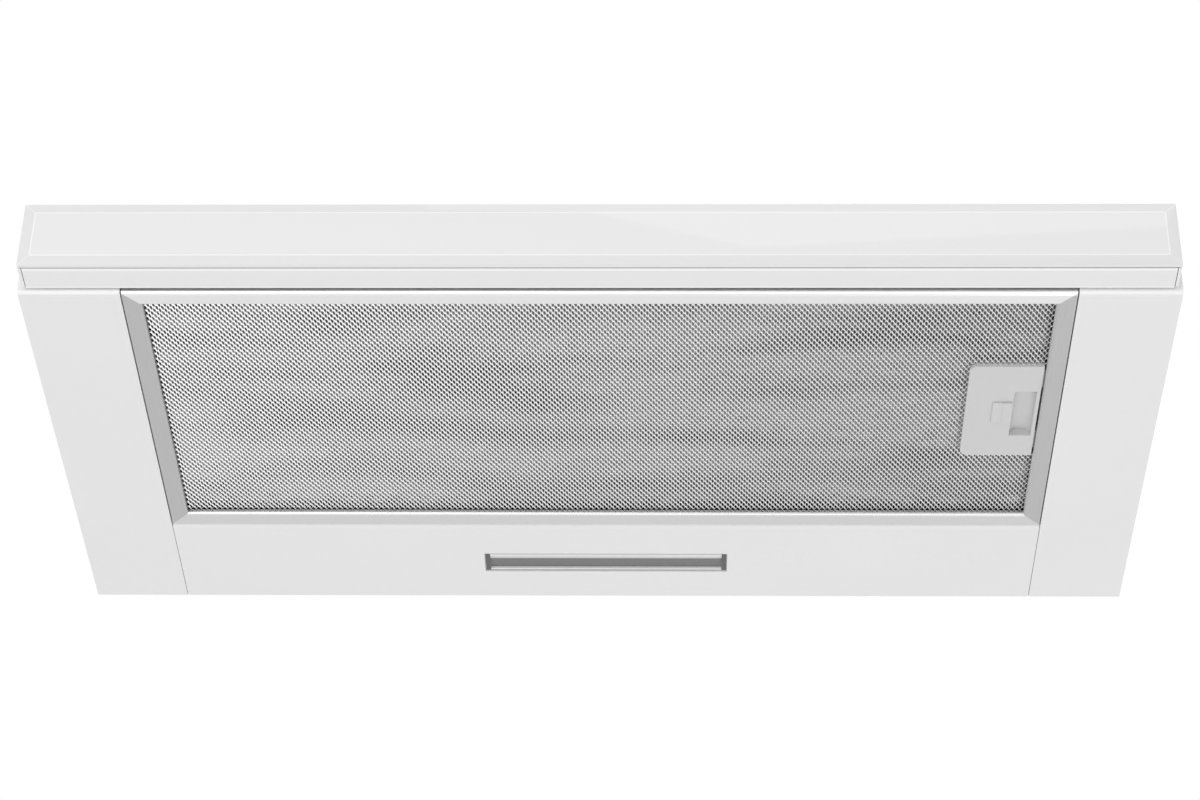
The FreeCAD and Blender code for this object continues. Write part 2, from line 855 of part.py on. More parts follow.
lamp_back = back - s.lamp_opening_back_margin - s.lamp_frame_gap
lamp_front = lamp_back - s.lamp_opening_depth + s.lamp_frame_gap * 2
lamp_half = s.lamp_opening_width / 2 - s.lamp_frame_gap
window_half = lamp_half - s.lamp_end_bar
window_front = lamp_front + s.lamp_front_lip
window_back = lamp_back - s.lamp_rear_lip
lamp_top = s.lamp_lip_level + s.lamp_frame_height


def lamp_frame():
    """Bezel of the light bar, set a little into the panel's opening."""
    body = new_body("lamp_frame")
    level = s.lamp_lip_level
    add(body, "XY_Plane", [rectangle(-lamp_half, lamp_half, lamp_front, lamp_back)], level, lamp_top)
    cut(body, "XY_Plane", [rectangle(-window_half, window_half, window_front, window_back)],
        level, lamp_top)
    round_edges(body, s.lamp_lip_radius,
                {"y": lamp_front, "z": level}, {"y": window_front, "z": level},
                {"y": lamp_back, "z": level}, {"y": window_back, "z": level})
    shelf = s.lamp_frame_gap
    cut(body, "XY_Plane",
        [rectangle(-window_half - shelf, window_half + shelf,
                   window_front - shelf, window_back + shelf)], s.diffuser_level, lamp_top)


def lamp_diffuser():
    body = new_body("lamp_diffuser")
    inset = s.lamp_frame_gap - s.diffuser_gap
    add(body, "XY_Plane",
        [rectangle(-window_half - inset, window_half + inset,
                   window_front - inset, window_back + inset)],
        s.diffuser_level, s.diffuser_level + s.diffuser_thickness)


def led_board():
    """Board with a row of light-emitting diodes, which face down."""
    body = new_body("led_board")
    inset = s.lamp_frame_gap - s.diffuser_gap
    low = s.led_board_level
    add(body, "XY_Plane",
        [rectangle(-window_half - inset, window_half + inset,
                   window_front - inset, window_back + inset)],
        low, low + s.led_board_thickness)
    middle = (window_front + window_back) / 2
    half_led = s.led_side / 2
    count = int(s.led_count.value)
    leds = []
    for number in range(count):
        x = s.led_pitch * (number - (count - 1) / 2)
        leds.append(rectangle(x - half_led, x + half_led, middle - half_led, middle + half_led))
    add(body, "XY_Plane", leds, low - s.led_height, low)


def lamp_cover():
    """Tray that closes the lamp's back and clips it to the panel."""
    body = new_body("lamp_cover")
    wall = s.lamp_cover_thickness
    add(body, "XY_Plane",
        [rectangle(-lamp_half - wall, lamp_half + wall, lamp_front - wall, lamp_back + wall)],
        s.steel_sheet, lamp_top + wall)
    cut(body, "XY_Plane", [rectangle(-lamp_half, lamp_half, lamp_front, lamp_back)],
        s.steel_sheet, lamp_top)
    for side in (-1, 1):
        edges = sorted((side * (lamp_half + wall), side * (lamp_half + wall + s.lamp_cover_flange)),
                       key=lambda size: size.value)
        add(body, "XY_Plane",
            [rectangle(edges[0], edges[1], lamp_front, lamp_back)],
            s.steel_sheet, s.steel_sheet + wall)


# Ball slides

ball_offset = s.slide_height / 2 - s.slide_wall - s.ball_radius - s.ball_play
cage_front = front + s.cage_front_inset


def slide_outer(name, side):
    """Fixed member: a channel on the side wall, with a ball groove in each flange."""
    body = new_body(name)
    middle = slide_level
    reach = s.slide_height / 2
    wall = s.slide_wall
    back_x = wall_inner * side
    web_x = (wall_inner - wall) * side
    lip_x = (wall_inner - s.slide_flange_back) * side
    lip_in = (wall_inner - s.slide_flange_back + wall) * side
    flange = reach - wall - s.ball_groove_depth
    lip = reach - s.slide_lip_height
    profile = [(back_x, middle - reach), (back_x, middle + reach), (lip_x, middle + reach),
               (lip_x, middle + lip), (lip_in, middle + lip), (lip_in, middle + flange),
               (web_x, middle + flange), (web_x, middle - flange), (lip_in, middle - flange),
               (lip_in, middle - lip), (lip_x, middle - lip), (lip_x, middle - reach)]
    y_low = front + s.slide_front_inset
    y_high = back - s.slide_back_inset
    add(body, "XZ_Plane", [profile], y_low, y_high)
    cut(body, "XZ_Plane", ball_grooves(side), y_low, y_high)


def ball_x(side):
    return (wall_inner - s.ball_from_wall) * side


def ball_grooves(side):
    radius = s.ball_radius + s.ball_play
    return [(ball_x(side), slide_level + up * ball_offset, radius) for up in (-1, 1)]


def slide_inner(name, side):
    """Moving member: a channel on the drawer's side that runs on the same balls."""
    body = new_body(name)
    middle = slide_level
    wall = s.slide_wall
    face = drawer_half * side
    web = (drawer_half + wall) * side
    tip = (wall_inner - s.ball_from_wall + s.ball_radius) * side
    outer = ball_offset - s.ball_radius - s.ball_play + s.ball_groove_depth
    inner = outer - wall
    profile = [(face, middle - outer), (tip, middle - outer), (tip, middle - inner),
               (web, middle - inner), (web, middle + inner), (tip, middle + inner),
               (tip, middle + outer), (face, middle + outer)]
    y_low = rail_back + s.drawer_sheet
    y_high = drawer_back
    add(body, "XZ_Plane", [profile], y_low, y_high)
    cut(body, "XZ_Plane", ball_grooves(side), y_low, y_high)


def cage_strip(side):
    """Bent strip with a row of ball holes in each flange."""
    body = doc.addObject("PartDesign::Body", "CageStrip")
    middle = slide_level
    web_out = (wall_inner - s.cage_from_wall) * side
    web_in = (wall_inner - s.cage_from_wall - s.cage_thickness) * side
    tip = (wall_inner - s.ball_from_wall - s.ball_radius / 2) * side
    outer = ball_offset + s.cage_thickness / 2
    inner = ball_offset - s.cage_thickness / 2
    profile = [(web_out, middle - outer), (web_out, middle + outer), (tip, middle + outer),
               (tip, middle + inner), (web_in, middle + inner), (web_in, middle - inner),
               (tip, middle - inner), (tip, middle - outer)]
    add(body, "XZ_Plane", [profile], cage_front, cage_front + s.cage_length)
    holes = [(ball_x(side), y, s.ball_radius + s.ball_play) for y in ball_rows()]
    cut(body, "XY_Plane", holes, middle - outer, middle + outer)
    return body


def ball_rows():
    count = int(s.cage_ball_count.value)
    step = (s.cage_length - s.cage_end_margin * 2) / (count - 1)
    return [cage_front + s.cage_end_margin + step * number for number in range(count)]


def slide_balls():
    ball_shape = faceted_ball()
    balls = []
    for side in (-1, 1):
        for y in ball_rows():
            for up in (-1, 1):
                ball = doc.addObject("Part::Feature", "Ball")
                ball.Shape = ball_shape
                place(ball, ball_x(side), y, slide_level + up * ball_offset)
                balls.append(ball)
    group("slide_balls", balls)


def faceted_ball():
    """A ball with few faces, because there are many: rings of points joined by flat faces."""
    radius = s.ball_radius.value
    count = int(s.ball_facets.value)
    rows = []
    for step in range(1, count // 2):
        polar = math.pi * step * 2 / count
        rows.append([Vector(radius * math.sin(polar) * math.cos(2 * math.pi * turn / count),
                            radius * math.sin(polar) * math.sin(2 * math.pi * turn / count),
                            radius * math.cos(polar)) for turn in range(count)])
    top = Vector(0, 0, radius)
    faces = []
    for number in range(count):
        after = (number + 1) % count
        loops = [[top, rows[0][number], rows[0][after]],
                 [-top, rows[-1][after], rows[-1][number]]]
        for upper, lower in zip(rows, rows[1:]):
            loops.append([upper[number], lower[number], lower[after], upper[after]])
        faces += [Part.Face(Part.makePolygon(loop + [loop[0]])) for loop in loops]
    return Part.makeSolid(Part.makeShell(faces))


# Drawer


def drawer_side(name, side):
    """Side member with a foot that carries the filter and a front tab behind the rail."""
    body = new_body(name)
    sheet = s.drawer_sheet
    low = drawer_floor
    outer = drawer_half * side
    inner = (drawer_half - sheet) * side
    foot = (drawer_half - s.drawer_side_foot) * side
    profile = [(outer, low), (outer, drawer_top), (inner, drawer_top),
               (inner, low + sheet), (foot, low + sheet), (foot, low)]
    add(body, "XZ_Plane", [profile], rail_back, drawer_back)
    # Tab that is screwed to the lips of the rail
    ends = sorted((inner, (drawer_half - s.drawer_side_tab) * side), key=lambda size: size.value)
    tab = rectangle(ends[0], ends[1], low, rail_top - s.rail_bend_radius)
    add(body, "XZ_Plane", [tab], rail_back, rail_back + sheet)


def front_channel():
    """Channel behind the rail that carries the controls; its top shows when the hood is open."""
    body = new_body("front_channel")
    reach = drawer_half - s.drawer_sheet - s.drawer_filter_gap
    y_low = rail_back + s.drawer_sheet
    y_high = front + s.channel_depth
    sheet = s.steel_sheet
    low = drawer_floor + s.drawer_sheet
    high = channel_top
    profile = [(y_low, low), (y_high, low), (y_high, high), (y_low, high),
               (y_low, high - sheet), (y_high - sheet, high - sheet),
               (y_high - sheet, low + sheet), (y_low, low + sheet)]
    add(body, "YZ_Plane", [profile], -reach, reach)
    openings = [key_outline(number, s.key_gap) for number in range(int(s.key_count.value))]
    cut(body, "XY_Plane", openings, high - sheet, high)


def rear_pan():
    """Closed floor of the drawer's rear part, folded up at its front and back."""
    body = new_body("rear_pan")
    reach = drawer_half - s.drawer_sheet - s.drawer_filter_gap
    sheet = s.drawer_sheet
    y_low = drawer_back - s.pan_depth
    y_high = drawer_back
    low = drawer_floor + sheet
    fold = low + s.drawer_filter_thickness
    high = low + s.pan_back_height
    profile = [(y_low, low), (y_high, low), (y_high, high), (y_high - sheet, high),
               (y_high - sheet, low + sheet), (y_low + sheet, low + sheet),
               (y_low + sheet, fold), (y_low, fold)]
    add(body, "YZ_Plane", [profile], -reach, reach)


def drawer_filter():
    """Second filter, which covers the pulled-out part; frame and mesh are separate nodes."""
    body = new_body("drawer_filter_frame")
    width = drawer_half - s.drawer_sheet - s.drawer_filter_side_inset
    y_low = front + s.channel_depth + s.drawer_filter_gap
    y_high = drawer_back - s.pan_depth - s.drawer_filter_pan_gap
    low = drawer_floor + s.drawer_sheet
    framed(body, width, y_low, y_high, low, s.drawer_filter_thickness)
    mesh = new_body("drawer_filter_mesh")
    edge = s.frame_wall + s.mesh_clearance
    add(mesh, "XY_Plane",
        [rectangle(-width + edge, width - edge, y_low + edge, y_high - edge)],
        low + s.frame_lip_height,
        low + s.drawer_filter_thickness - s.frame_wall - s.mesh_clearance)


def drawer_buffers():
    """Rubber stops on the rear wall that meet the closing drawer."""
    stops = []
    y_low = drawer_back + s.buffer_gap
    level = drawer_floor + s.drawer_sheet + s.pan_back_height / 2
    for side in (-1, 1):
        stop = doc.addObject("Part::Cylinder", "Buffer")
        bind(stop, "Radius", s.buffer_radius)
        bind(stop, "Height", back - s.steel_sheet - y_low)
        # Turned so that its axis lies along Y
        stop.Placement = Placement(Vector(), Rotation(Vector(1, 0, 0), -90))
        place(stop, side * (drawer_half - s.buffer_side_inset), y_low, level)
        stops.append(stop)
    group("drawer_buffers", stops)


# Front of the drawer

cap_inner = glass_half - s.cap_thickness


def rail_outline(inset):
    low = s.rail_level + inset
    high = rail_top - inset
    return rectangle(rail_front + inset, rail_back - inset, low, high)


def front_rail():
    """White channel that closes the drawer's front; the glass is bonded to it."""
    body = new_body("front_rail")
    reach = cap_inner - s.cap_joint
    sheet = s.steel_sheet
    add(body, "YZ_Plane", [rail_outline(ZERO)], -reach, reach)
    round_edges(body, s.rail_bend_radius,
                {"y": rail_front, "z": s.rail_level}, {"y": rail_front, "z": rail_top},
                {"y": rail_back, "z": s.rail_level}, {"y": rail_back, "z": rail_top})
    hollow(body, sheet, {"x": reach}, {"x": -reach})
    # The rear side stays open between its two lips
    low = s.rail_level + s.rail_lip_height
    high = rail_top - s.rail_lip_height
    cut(body, "XY_Plane", [rectangle(-reach, reach, rail_back - sheet, rail_back)], low, high)


def end_cap(name, side):
    """Moulded cap over the rail's end, with a hollow plug that grips inside it."""
    body = new_body(name)
    outer = glass_half * side
    inner = cap_inner * side
    plug = (cap_inner - s.cap_plug_length) * side
    plate = sorted((outer, inner), key=lambda size: size.value)
    core = sorted((inner, plug), key=lambda size: size.value)
    add(body, "YZ_Plane", [rail_outline(ZERO)], plate[0], plate[1])
    round_edges(body, s.cap_radius,
                {"y": rail_front, "z": s.rail_level}, {"y": rail_front, "z": rail_top},
                {"y": rail_back, "z": s.rail_level}, {"y": rail_back, "z": rail_top})
    grip = s.steel_sheet + s.cap_plug_gap
    # The plug's corners stay clear of the rail's bends
    corner = grip + s.cap_plug_wall
    add(body, "YZ_Plane", [rail_outline(corner), rail_outline(corner + s.cap_plug_wall)],
        core[0], core[1])


def glass_front():
    """Back-painted glass with a shallow bevel along all four edges."""
    body = new_body("glass_front")
    reach = glass_half
    low = s.glass_level
    high = s.glass_level + s.glass_height
    arris = glass_back - s.glass_thickness + s.bevel_depth
    outer = rectangle(-reach, reach, low, high)
    add(body, "XZ_Plane", [outer], arris, glass_back)
    width = s.bevel_width
    inner = rectangle(-reach + width, reach - width, low + width, high - width)
    loft = body.newObject("PartDesign::AdditiveLoft", "Bevel")
    loft.Profile = draw(body, "XZ_Plane", [outer], arris)
    loft.Sections = [draw(body, "XZ_Plane", [inner], arris - s.bevel_depth)]
    loft.Ruled = True
    doc.recompute()
    body.Tip = loft


def glass_tape():
    """Two strips of foam tape between the rail and the glass."""
    reach = cap_inner - s.tape_end_inset
    strips = []
    lows = (s.rail_level + s.tape_inset, rail_top - s.tape_inset - s.tape_height)
    for low in lows:
        strips.append(box("Tape", -reach, reach, glass_back, rail_front, low, low + s.tape_height))
    group("glass_tape", strips)


# Controls


def key_outline(number, gap):
    x = drawer_half - s.key_side_inset - s.key_pitch * number
    y = front + s.key_row_from_housing
    return rectangle(x - s.key_length / 2 - gap, x + s.key_length / 2 + gap,
                     y - s.key_width / 2 - gap, y + s.key_width / 2 + gap)


def control_module():
    """Switch housing under the channel's top, with a guide for each key."""
    body = new_body("control_module")
    count = int(s.key_count.value)
    margin = s.key_length / 2 + s.module_margin
    right = drawer_half - s.key_side_inset + margin
    left = drawer_half - s.key_side_inset - s.key_pitch * (count - 1) - margin
    y = front + s.key_row_from_housing
    reach = s.key_width / 2 + s.module_margin
    high = channel_top - s.steel_sheet
    low = high - s.module_height
    add(body, "XY_Plane", [rectangle(left, right, y - reach, y + reach)], low, high)
    floor = channel_top - s.key_skirt - s.key_travel - s.key_gap
    cut(body, "XY_Plane", [key_outline(number, s.key_gap) for number in range(count)], floor, high)


def control_keys():
    for number in range(int(s.key_count.value)):
        body = new_body("key_%d" % (number + 1))
        top = channel_top + s.key_proud
        # The first key is the leftmost
        outline = key_outline(int(s.key_count.value) - 1 - number, ZERO)
        add(body, "XY_Plane", [outline], channel_top - s.key_skirt, top)
        left, low = outline[0]
        right, high = outline[2]
        round_edges(body, s.key_edge_radius, {"x": left, "z": top}, {"x": right, "z": top},
                    {"y": low, "z": top}, {"y": high, "z": top})


# Motor box and what it holds


def motor_box():
    """Folded steel cover over the blower, held by a tab in each of its corners."""
    body = new_body("motor_box")
    low = plate_top
    sheet = s.steel_sheet
    add(body, "XY_Plane", [rectangle(-box_half, box_half, box_front, box_back)], low, box_top)
    round_edges(body, s.cover_bend_radius, {"y": box_front, "z": box_top},
                {"y": box_back, "z": box_top})
    hollow(body, sheet, {"z": low})
    box_beads(body)
    inner = rectangle(sheet - box_half, box_half - sheet, box_front + sheet, box_back - sheet)
    tabs = []
    for x, y in inner:
        x_ends = sorted((x, x - s.box_tab * math.copysign(1, x.value)),
                        key=lambda size: size.value)
        y_ends = sorted((y, y + s.box_tab * (1 if y is inner[0][1] else -1)),
                        key=lambda size: size.value)
        tabs.append(rectangle(x_ends[0], x_ends[1], y_ends[0], y_ends[1]))
    add(body, "XY_Plane", tabs, low, low + sheet)
    outlet = (ZERO, collar_y, neck_radius + s.volute_wall + s.collar_hole_clearance)
    gland = (box_half - s.gland_side_inset, box_back - s.gland_back_inset, s.gland_stem_radius)
    cut(body, "XY_Plane", [outlet, gland], box_top - sheet, box_top)


def box_beads(body):
    """Shallow pressed panels that stiffen the flat sides; each has sloping edges."""
    margin = s.bead_margin
    slope = s.bead_slope
    depth = s.bead_depth
    blower_edge = blower_y - s.motor_radius - s.bracket_width - s.bead_collar_gap
    collar_edge = s.collar_radius + s.collar_flange_width + s.bead_collar_gap
    sides = rectangle(box_front + margin, box_back - margin, plate_top + margin, box_top - margin)
    backs = rectangle(-box_half + margin, box_half - margin, plate_top + margin, box_top - margin)
    fronts = rectangle(collar_edge, box_half - margin, plate_top + margin, box_top - margin)
    left_top = rectangle(-box_half + margin, -collar_edge, box_front + margin, blower_edge)
    right_top = rectangle(collar_edge, box_half - margin, box_front + margin,
                          box_back - s.gland_back_inset - s.gland_radius - margin)
    panels = [("YZ_Plane", sides, -box_half, 1), ("YZ_Plane", sides, box_half, -1),
              ("XZ_Plane", backs, box_back, -1), ("XZ_Plane", fronts, box_front, 1),
              ("XY_Plane", left_top, box_top, -1), ("XY_Plane", right_top, box_top, -1)]
    sheet = s.steel_sheet
    for role, loop, face, inward in panels:
        skin = face + sheet * inward
        step = depth * inward
        swell(body, "Additive", role, grown(loop, sheet), skin, grown(loop, sheet - slope), skin + step)
        swell(body, "Subtractive", role, loop, face, grown(loop, -slope), face + step)


def swell(body, kind, role, loop, at, second_loop, second_at):
    """Adds or takes away the solid between two loops on parallel planes."""
    loft = body.newObject("PartDesign::%sLoft" % kind, "Bead")
    loft.Profile = draw(body, role, [loop], at)
    loft.Sections = [draw(body, role, [second_loop], second_at)]
    loft.Ruled = True
    doc.recompute()
    body.Tip = loft


def grown(loop, margin):
    """A rectangle's corners moved outwards."""
    inset = -as_size(margin)
    (x_low, y_low), (x_high, y_high) = loop[0], loop[2]
    return rectangle(x_low + inset, x_high - inset, y_low + inset, y_high - inset)


def box_screws():
    """Hexagon heads: four under the box's tabs and four on the collar's flange."""
    screws = []
    inset = s.steel_sheet + s.box_tab / 2
    spots = [(x, y, plate_under - s.screw_head_height)
             for x in (inset - box_half, box_half - inset)
             for y in (box_front + inset, box_back - inset)]
    middle = (s.collar_shoulder_width + s.collar_flange_width) / 2
    arm = (s.collar_radius + middle) / math.sqrt(2)
    spots += [(arm * across, collar_y + arm * deep, box_top + s.collar_flange_thickness)
              for across in (-1, 1) for deep in (-1, 1)]
    for x, y, z in spots:
        head = doc.addObject("Part::Prism", "Head")
        head.Polygon = 6
        bind(head, "Circumradius", s.screw_head_radius)
        bind(head, "Height", s.screw_head_height)
        place(head, x, y, z)
        screws.append(head)
    group("box_screws", screws)


def collar_flange():
    """Screwed ring that the collar rises from, with a shoulder that the duct stops on."""
    body = new_body("collar_flange")
    place(body, ZERO, collar_y, ZERO)
    outer = s.collar_radius + s.collar_flange_width
    shoulder = s.collar_radius + s.collar_shoulder_width
    flange_top = box_top + s.collar_flange_thickness
    turn(body, [(bore_radius, box_top), (outer, box_top), (outer, flange_top),
                (shoulder, flange_top), (shoulder, collar_foot), (bore_radius, collar_foot)])


def duct_collar():
    """Round outlet for a 120 mm duct, with a seat ring for the flaps and bosses for their pin."""
    body = new_body("duct_collar")
    place(body, ZERO, collar_y, ZERO)
    rim = s.collar_wall / 2
    seat_top = flap_level - s.flap_thickness / 2 - s.flap_seat_gap
    seat_low = seat_top - s.flap_seat_height
    turn(body, [(bore_radius, collar_foot), (s.collar_radius, collar_foot),
                (s.collar_radius, hood_top - rim), (s.collar_radius - rim, hood_top),
                (bore_radius, hood_top), (bore_radius, seat_top),
                (bore_radius - s.flap_seat_width, seat_top), (bore_radius, seat_low)])
    # A boss on either side carries the pin of the flaps
    for side in (-1, 1):
        ends = sorted((side * (bore_radius - s.pin_seat_length), side * (bore_radius + rim)),
                      key=lambda size: size.value)
        add(body, "YZ_Plane", [(ZERO, flap_level, s.pin_seat_radius)], ends[0], ends[1])
        ends = sorted((side * (bore_radius - s.pin_seat_length), side * bore_radius),
                      key=lambda size: size.value)
        cut(body, "YZ_Plane", [(ZERO, flap_level, s.flap_pin_radius)], ends[0], ends[1])


def flap_pin():
    pin = doc.addObject("Part::Cylinder", "flap_pin")
    bind(pin, "Radius", s.flap_pin_radius)
    bind(pin, "Height", bore_radius * 2)
    # Turned so that its axis lies along X
    pin.Placement = Placement(Vector(), Rotation(Vector(0, 1, 0), 90))
    place(pin, -bore_radius, collar_y, flap_level)
    keep(pin, "flap_pin")


def flap(name, side):
    """Half disc that swings up about the pin; its knuckles alternate with the other flap's."""
    body = new_body(name)
    place(body, ZERO, collar_y, flap_level)
    radius = bore_radius - s.flap_edge_gap
    half_plate = s.flap_thickness / 2
    gap = s.flap_from_pin
    add(body, "XY_Plane", [(ZERO, ZERO, radius)], -half_plate, half_plate)
    away = rectangle(-radius - gap, radius + gap, *sorted((gap * side, -radius * side - gap * side),
                                                          key=lambda size: size.value))
    cut(body, "XY_Plane", [away], -half_plate, half_plate)
    # The front flap has the first and third of four knuckles, and the rear flap the others
    pitch = s.flap_knuckle_length
    for number in range(0 if side < 0 else 1, 4, 2):
        low = pitch * (number - 2) + s.flap_knuckle_gap / 2
        high = pitch * (number - 1) - s.flap_knuckle_gap / 2
        add(body, "YZ_Plane", [(ZERO, ZERO, s.flap_knuckle_radius)], low, high)
        web = sorted((ZERO, (gap + half_plate) * side), key=lambda size: size.value)
        add(body, "XY_Plane", [rectangle(low, high, web[0], web[1])], -half_plate, half_plate)
    reach = pitch * 2
    cut(body, "YZ_Plane", [(ZERO, ZERO, s.flap_pin_radius + s.flap_pin_play)], -reach, reach)


# Blower


def impeller():
    """Drum of forward-curved blades between a lower ring and a disc with a cup for the motor."""
    body = new_body("impeller")
    place(body, blower_x, blower_y, ZERO)
    top = impeller_top
    bore = s.shaft_radius
    floor = hub_floor
    wall = s.hub_wall
    cup = s.motor_radius + s.hub_cup_gap
    foot = cup - s.hub_taper
    under_disc = top - s.impeller_disc
    boss_top = floor + wall + s.motor_neck_height / 2
    turn(body, [(bore, boss_bottom), (s.hub_boss_radius, boss_bottom),
                (s.hub_boss_radius, floor), (foot, floor), (cup, under_disc),
                (s.impeller_radius, under_disc), (s.impeller_radius, top), (cup - wall, top),
                (foot - wall, floor + wall), (s.hub_boss_radius, floor + wall),
                (s.hub_boss_radius, boss_top), (bore, boss_top)])
    blade = blade_pad(body, impeller_bottom + s.impeller_ring_height / 2,
                      top - s.impeller_disc / 2)
    axis = next(item for item in body.Origin.OriginFeatures if item.Role == "Z_Axis")
    blades = body.newObject("PartDesign::PolarPattern", "Blades")
    blades.Originals = [blade]
    blades.Axis = (axis, [""])
    blades.Angle = 360.0
    bind(blades, "Occurrences", s.blade_count)
    body.Tip = blades
    doc.recompute()
    ring = [(ZERO, ZERO, s.impeller_radius), (ZERO, ZERO, s.impeller_radius - s.impeller_ring_width)]
    add(body, "XY_Plane", ring, impeller_bottom, impeller_bottom + s.impeller_ring_height)


def blade_pad(body, low, high):
    """One blade: two arcs about one centre, closed by straight ends."""
    lead = math.radians(s.blade_lead_angle.value)
    foot = Vector(s.impeller_radius.value - s.blade_depth.value, 0, 0)
    tip_radius = s.impeller_radius.value - s.blade_thickness.value
    tip = Vector(tip_radius * math.cos(lead), tip_radius * math.sin(lead), 0)
    chord = tip - foot
    middle = (foot + tip) / 2
    radius = s.blade_curve_radius.value
    rise = math.sqrt(radius ** 2 - (chord.Length / 2) ** 2)
    # The hollow side faces the way the drum turns, which is anticlockwise from above
    across = Vector(-chord.y, chord.x, 0).normalize()
    centre = middle + across * rise
    start = math.atan2(foot.y - centre.y, foot.x - centre.x)
    end = math.atan2(tip.y - centre.y, tip.x - centre.x)
    sketch = draw(body, "XY_Plane", [], low)
    arcs = []
    for offset in (-s.blade_thickness.value / 2, s.blade_thickness.value / 2):
        circle = Part.Circle(centre, Vector(0, 0, 1), radius + offset)
        arcs.append(sketch.addGeometry(Part.ArcOfCircle(circle, start, end), False))
    ends = [(arc, point) for point in (1, 2) for arc in arcs]
    corner = {}
    for arc, point in ends:
        corner[arc, point] = sketch.getPoint(arc, point)
    for point in (1, 2):
        line = Part.LineSegment(corner[arcs[0], point], corner[arcs[1], point])
        number = sketch.addGeometry(line, False)
        sketch.addConstraint(Sketcher.Constraint("Coincident", number, 1, arcs[0], point))
        sketch.addConstraint(Sketcher.Constraint("Coincident", number, 2, arcs[1], point))
    for arc, offset in zip(arcs, (-s.blade_thickness / 2, s.blade_thickness / 2)):
        size = s.blade_curve_radius + offset
        number = sketch.addConstraint(Sketcher.Constraint("Radius", arc, size.value))
        sketch.setExpression("Constraints[%d]" % number, size.text)
        sketch.addConstraint(Sketcher.Constraint("DistanceX", -1, 1, arc, 3, centre.x))
        sketch.addConstraint(Sketcher.Constraint("DistanceY", -1, 1, arc, 3, centre.y))
    pad = body.newObject("PartDesign::Pad", "Blade")
    pad.Profile = sketch
    bind(pad, "Length", high - low)
    doc.recompute()
    return pad


def shaft():
    rod = cylinder("motor_shaft", s.shaft_radius, blower_x, blower_y,
                   boss_bottom - s.shaft_stub, shaft_top)
    keep(rod, "motor_shaft")


def motor():
    """Motor in the drum's cup, hung from its top flange."""
    body = new_body("motor")
    place(body, blower_x, blower_y, ZERO)
    radius = s.motor_radius
    bottom = motor_bottom
    bore = s.shaft_radius + s.shaft_play
    flange_low = volute_roof + s.bush_height + s.bracket_thickness
    flange = radius + s.motor_flange_width
    top = flange_low + s.motor_flange_thickness
    neck = bottom - s.motor_neck_height
    slim = radius - s.motor_shoulder
    turn(body, [(bore, neck), (s.motor_neck_radius, neck), (s.motor_neck_radius, bottom),
                (slim, bottom), (slim, impeller_top - s.motor_shoulder), (radius, impeller_top),
                (radius, flange_low), (flange, flange_low), (flange, top), (ZERO, top),
                (ZERO, shaft_top + s.shaft_play), (bore, shaft_top + s.shaft_play)])


def motor_bracket():
    """Pressed ring that holds the motor over the roof of the blower housing."""
    body = new_body("motor_bracket")
    place(body, blower_x, blower_y, ZERO)
    low = volute_roof + s.bush_height
    loops = [(ZERO, ZERO, s.motor_radius + s.bracket_width), (ZERO, ZERO, s.motor_radius)]
    add(body, "XY_Plane", loops, low, low + s.bracket_thickness)


def motor_bushes():
    """Three rubber bushes under the bracket."""
    bushes = []
    for number in range(3):
        angle = math.radians(90 + 120 * number)
        circle = s.motor_radius + s.bush_from_motor
        x = blower_x + circle * math.cos(angle)
        y = blower_y + circle * math.sin(angle)
        bushes.append(cylinder("Bush", s.bush_radius, x, y, volute_roof,
                               volute_roof + s.bush_height))
    group("motor_bushes", bushes)


def volute_outline():
    """Spiral of three quarter circles, each larger than the last, that runs into the outlet."""
    growth = s.volute_growth.value
    start = volute_start.value
    reach = neck_radius.value + s.volute_wall.value + s.outlet_margin.value
    right = reach - blower_x.value
    rear = reach + collar_y.value - blower_y.value
    tongue_x = start + s.volute_tongue.value
    first = start + growth / 2
    quarters = ((Vector(-growth / 2, growth / 2, 0), first, 0),
                (Vector(-growth / 2, -growth / 2, 0), first + growth, 90),
                (Vector(growth / 2, -growth / 2, 0), first + growth * 2, 180))
    edges = []
    for centre, radius, angle in quarters:
        points = []
        for turned in (0, 45, 90):
            direction = math.radians(angle + turned)
            points.append(centre + Vector(math.cos(direction), math.sin(direction), 0) * radius)
        edges.append(Part.Arc(*points).toShape())
    last = edges[-1].Vertexes[-1].Point
    corners = [last, Vector(right, last.y, 0), Vector(right, rear, 0), Vector(tongue_x, rear, 0),
               Vector(tongue_x, growth / 2, 0), edges[0].Vertexes[0].Point]
    for low, high in zip(corners, corners[1:]):
        edges.append(Part.LineSegment(low, high).toShape())
    return Part.Face(Part.Wire(Part.__sortEdges__(edges)))


def volute_pieces():
    """Housing of the blower: a shell with walls and roof, and the floor that it stands on."""
    inner = volute_outline()
    outer = Part.Face(inner.makeOffset2D(s.volute_wall.value).OuterWire)
    wall = s.volute_wall.value
    floor = plate_top.value
    roof = volute_roof.value
    up = Vector(0, 0, 1)
    collar = Vector(-blower_x.value, collar_y.value - blower_y.value, 0)

    def slab(face, low, high):
        raised = face.translated(Vector(0, 0, low))
        return raised.extrude(Vector(0, 0, high - low))

    def rod(radius, at, low, high):
        return Part.makeCylinder(radius, high - low, at + up * low, up)

    shell = slab(outer, floor + wall, roof).cut(slab(inner, floor + wall, roof - wall))
    shell = shell.cut(rod(s.motor_radius.value + wall, Vector(), roof - wall, roof))
    neck = neck_radius.value
    neck_top = box_top.value - s.steel_sheet.value - s.slider_clearance.value
    shell = shell.fuse(rod(neck + wall, collar, roof - wall, neck_top))
    shell = shell.cut(rod(neck, collar, roof - wall, neck_top)).removeSplitter()
    fixed("volute_shell", shell, blower_x, blower_y)
    volute_base(slab(outer, floor, floor + wall))


